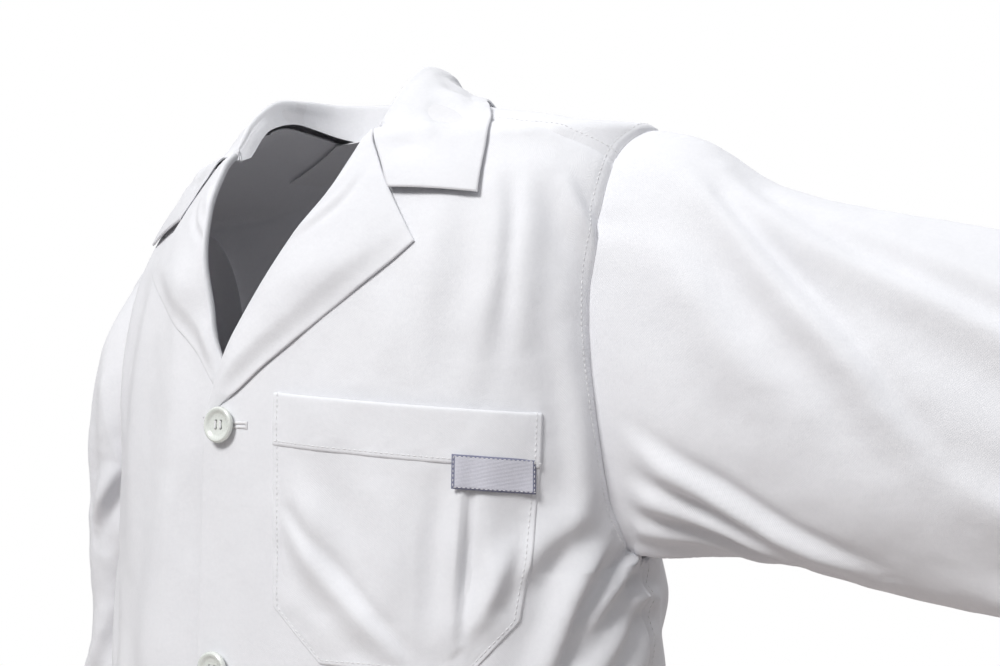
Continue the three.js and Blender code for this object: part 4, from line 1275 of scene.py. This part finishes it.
def makeLoop():
    # hanger loop inside the back of the neck
    s = np.linspace(0, 1, 36)
    x = mix(-hanger["half"], hanger["half"], s)
    wall = torsoAt(x, hanger["middle"], 1)
    y = wall[:, 1] - 5.2 - hanger["bow"] * np.sin(math.pi * s) + 4.0 * np.exp(-((s - 0.5) / 0.5) ** 2) - 2.0
    rows = []
    for v in np.linspace(0, 1, 7):
        bend = 0.5 * math.sin(math.pi * v)
        rows.append(np.stack([wall[:, 0], y - bend, hanger["top"] - hanger["high"] * v + 0 * s], axis=-1))
    points = np.stack(rows, axis=1)
    obj = makeSheet("hangerLoop", points, lambda p: p * 0 + np.array([0, -1.0, 0]), cottonWhite,
                    thick=hanger["thick"])
    register(obj, "coat_body", "hanger_loop")


makeLoop()

button = {
    "dish": 2.3, "spread": 2.0, "hole": 1.1, "standOff": 3.6, "segments": 64,
    "profile": [(0, 0), (7.6, 0), (9.4, 0.35), (10.5, 1.2), (10.8, 2.2), (10.5, 3.3), (9.6, 3.95), (8.7, 3.9),
                (7.8, 3.4), (7.1, 2.75), (6.3, 2.45), (3.0, 2.3), (0, 2.3)],
}


def buttonPlace(i):
    z = coat["topButtonZ"] - coat["buttonGap"] * i
    here, above, below = (hang(torsoAt(-4.0, z + dz)) for dz in (0, 5, -5))
    slope = above - below
    n = unit(np.array([0, -slope[2], slope[1]]))
    return here, n


def makeButtonMesh():
    bm = bmesh.new()
    points = [bm.verts.new((r * mm, 0, h * mm)) for r, h in button["profile"]]
    edges = [bm.edges.new(pair) for pair in zip(points[:-1], points[1:])]
    bmesh.ops.spin(bm, geom=points + edges, axis=(0, 0, 1), cent=(0, 0, 0), steps=button["segments"],
                   angle=2 * math.pi, use_merge=True)
    bmesh.ops.remove_doubles(bm, verts=bm.verts, dist=1e-6)
    bmesh.ops.recalc_face_normals(bm, faces=bm.faces)
    obj = meshObject("buttonShape", bm)
    bm = bmesh.new()
    for x in (-1, 1):
        for y in (-1, 1):
            place = Matrix.Translation((x * button["spread"] * mm, y * button["spread"] * mm, 2 * mm))
            bmesh.ops.create_cone(bm, cap_ends=True, segments=20, radius1=button["hole"] * mm,
                                  radius2=button["hole"] * mm, depth=12 * mm, matrix=place)
    cutter = meshObject("holes", bm)
    boolean = obj.modifiers.new("holes", "BOOLEAN")
    boolean.object = cutter
    boolean.solver = "EXACT"
    bpy.context.view_layer.update()
    final = bpy.data.meshes.new_from_object(obj.evaluated_get(bpy.context.evaluated_depsgraph_get()))
    for extra in (obj, cutter):
        bpy.data.objects.remove(extra)
    return final


def addTube(bm, start, end, radius, sides=8):
    a, b = Vector(start), Vector(end)
    way = b - a
    turn = way.to_track_quat("Z", "Y").to_matrix().to_4x4()
    bmesh.ops.create_cone(bm, cap_ends=True, segments=sides, radius1=radius, radius2=radius, depth=way.length,
                          matrix=Matrix.Translation((a + b) / 2) @ turn)


def makeButtons():
    shape = makeButtonMesh()
    for i in range(coat["buttons"]):
        here, n = buttonPlace(i)
        turn = Vector(n).to_track_quat("Z", "Y").to_matrix().to_4x4()
        place = Matrix.Translation(Vector((here + n * button["standOff"]) * mm)) @ turn
        mesh = shape.copy()
        mesh.transform(place)
        obj = bpy.data.objects.new(f"button{i + 1}", mesh)
        bpy.context.scene.collection.objects.link(obj)
        smoothShaded(obj, resin, 38)
        register(obj, f"button_{i + 1}_turning", f"button_{i + 1}")
        bm = bmesh.new()
        g, top, low = button["spread"] * mm, (button["dish"] + 0.55) * mm, -1.5 * mm
        for x in (-1, 1):
            for strand in (-0.42, 0.0, 0.42):
                sx = x * g + strand * mm
                addTube(bm, (sx, -g, top), (sx, g, top), 0.27 * mm)
                for y in (-1, 1):
                    addTube(bm, (sx, y * g, top + 0.05 * mm), (sx * 0.9, y * g * 0.95, low), 0.27 * mm)
        for turnStep in range(9):
            level = (-0.5 - 0.62 * turnStep) * mm
            bmesh.ops.create_cone(bm, cap_ends=True, segments=14, radius1=1.75 * mm, radius2=1.75 * mm,
                                  depth=0.5 * mm, matrix=Matrix.Translation((0, 0, level)))
        obj = meshObject(f"buttonThread{i + 1}", bm)
        obj.data.transform(place)
        smoothShaded(obj, thread, 50)
        register(obj, f"button_{i + 1}_turning", f"button_thread_{i + 1}")


def makeButtonholes():
    # close stitches round a buttonhole, under each button
    bm = bmesh.new()
    for i in range(coat["buttons"]):
        here, n = buttonPlace(i)
        side, up = np.array([1.0, 0, 0]), np.cross(n, np.array([1.0, 0, 0]))
        if up[2] < 0:
            up = -up
        xs = np.arange(-4.4, 18.0, 0.52)
        lean = coat["neckLean"] * smoothStep(coat["topButtonZ"], 0, here[2])
        for sign in (1, -1):
            for x in xs:
                spot = hang(torsoAt(here[0] + x - lean, here[2]))
                centre = spot + n * 2.25 + up * sign * 1.25
                columns = [side * 0.3, up * 1.15, n * 0.42]
                addStitch(bm, columns, centre)
        for x in (-5.0, 18.4):
            for y in np.arange(-2.1, 2.2, 0.52):
                spot = hang(torsoAt(here[0] + x - lean, here[2]))
                centre = spot + n * 2.3 + up * y
                columns = [side * 1.0, up * 0.3, n * 0.42]
                addStitch(bm, columns, centre)
    obj = meshObject("buttonholes", bm)
    smoothShaded(obj, thread, 60)
    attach(obj, "coat_body")


makeButtons()
makeButtonholes()
print("buttons ready")

for body, word in (("coat_body", "coatStitches"), ("left_forearm", "leftCuffStitches"),
                   ("right_forearm", "rightCuffStitches")):
    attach(makeStitches(body, word, thread), body)
print("stitches ready")

studio = {
    "floorZ": -1.25, "floorRadius": 1.9, "worldShade": (0.97, 0.98, 1.0), "above": 0.66, "below": 0.02,
    "fadeLow": -0.35, "fadeHigh": 0.85, "aim": (0.1, 0, -0.35),
    "lights": [
        ("keyLight", (-0.1, -2.1, 1.6), 61.0, 0.8, (1.0, 0.995, 0.985)),
        ("frontFill", (1.9, -2.3, 0.9), 3.0, 2.0, (0.97, 0.98, 1.0)),
        ("backFill", (0.4, 2.4, 1.4), 26.0, 2.0, (1.0, 1.0, 1.0)),
    ],
}


def makeStudio():
    bm = bmesh.new()
    bmesh.ops.create_circle(bm, cap_ends=True, segments=96, radius=studio["floorRadius"],
                            matrix=Matrix.Translation((0, 0, studio["floorZ"])))
    floor = meshObject("floor", bm)
    g = Graph("paleFloor")
    grain = g.noise(g.place("Object"), 30.0, 3.0)
    floor.data.materials.append(g.finish({
        "Base Color": g.blend(grain, (0.60, 0.54, 0.51, 1), (0.64, 0.58, 0.55, 1)),
        "Roughness": grain * 0.1 + 0.8}))
    for name, place, power, size, shade in studio["lights"]:
        data = bpy.data.lights.new(name, "AREA")
        data.energy, data.size, data.color = power, size, shade
        lamp = bpy.data.objects.new(name, data)
        lamp.location = place
        lamp.rotation_euler = (Vector(studio["aim"]) - Vector(place)).to_track_quat("-Z", "Y").to_euler()
        bpy.context.scene.collection.objects.link(lamp)
    world = bpy.data.worlds.new("softRoom")
    world.use_nodes = True
    nodes, links = world.node_tree.nodes, world.node_tree.links
    nodes.clear()
    path = nodes.new("ShaderNodeLightPath")
    dim, bright = nodes.new("ShaderNodeBackground"), nodes.new("ShaderNodeBackground")
    dim.inputs["Color"].default_value = (*studio["worldShade"], 1)
    seen, split, fade = (nodes.new("ShaderNode" + kind) for kind in ("TexCoord", "SeparateXYZ", "MapRange"))
    for key, value in (("From Min", studio["fadeLow"]), ("From Max", studio["fadeHigh"]),
                       ("To Min", studio["below"]), ("To Max", studio["above"])):
        fade.inputs[key].default_value = value
    links.new(seen.outputs["Generated"], split.inputs[0])
    links.new(split.outputs["Z"], fade.inputs["Value"])
    links.new(fade.outputs["Result"], dim.inputs["Strength"])
    bright.inputs["Strength"].default_value = 1.0
    bright.inputs["Color"].default_value = (1, 1, 1, 1)
    choose, out = nodes.new("ShaderNodeMixShader"), nodes.new("ShaderNodeOutputWorld")
    links.new(path.outputs["Is Camera Ray"], choose.inputs[0])
    links.new(dim.outputs[0], choose.inputs[1])
    links.new(bright.outputs[0], choose.inputs[2])
    links.new(choose.outputs[0], out.inputs["Surface"])
    bpy.context.scene.world = world
    bpy.context.scene.view_settings.view_transform = "Standard"


makeStudio()
print("studio ready")
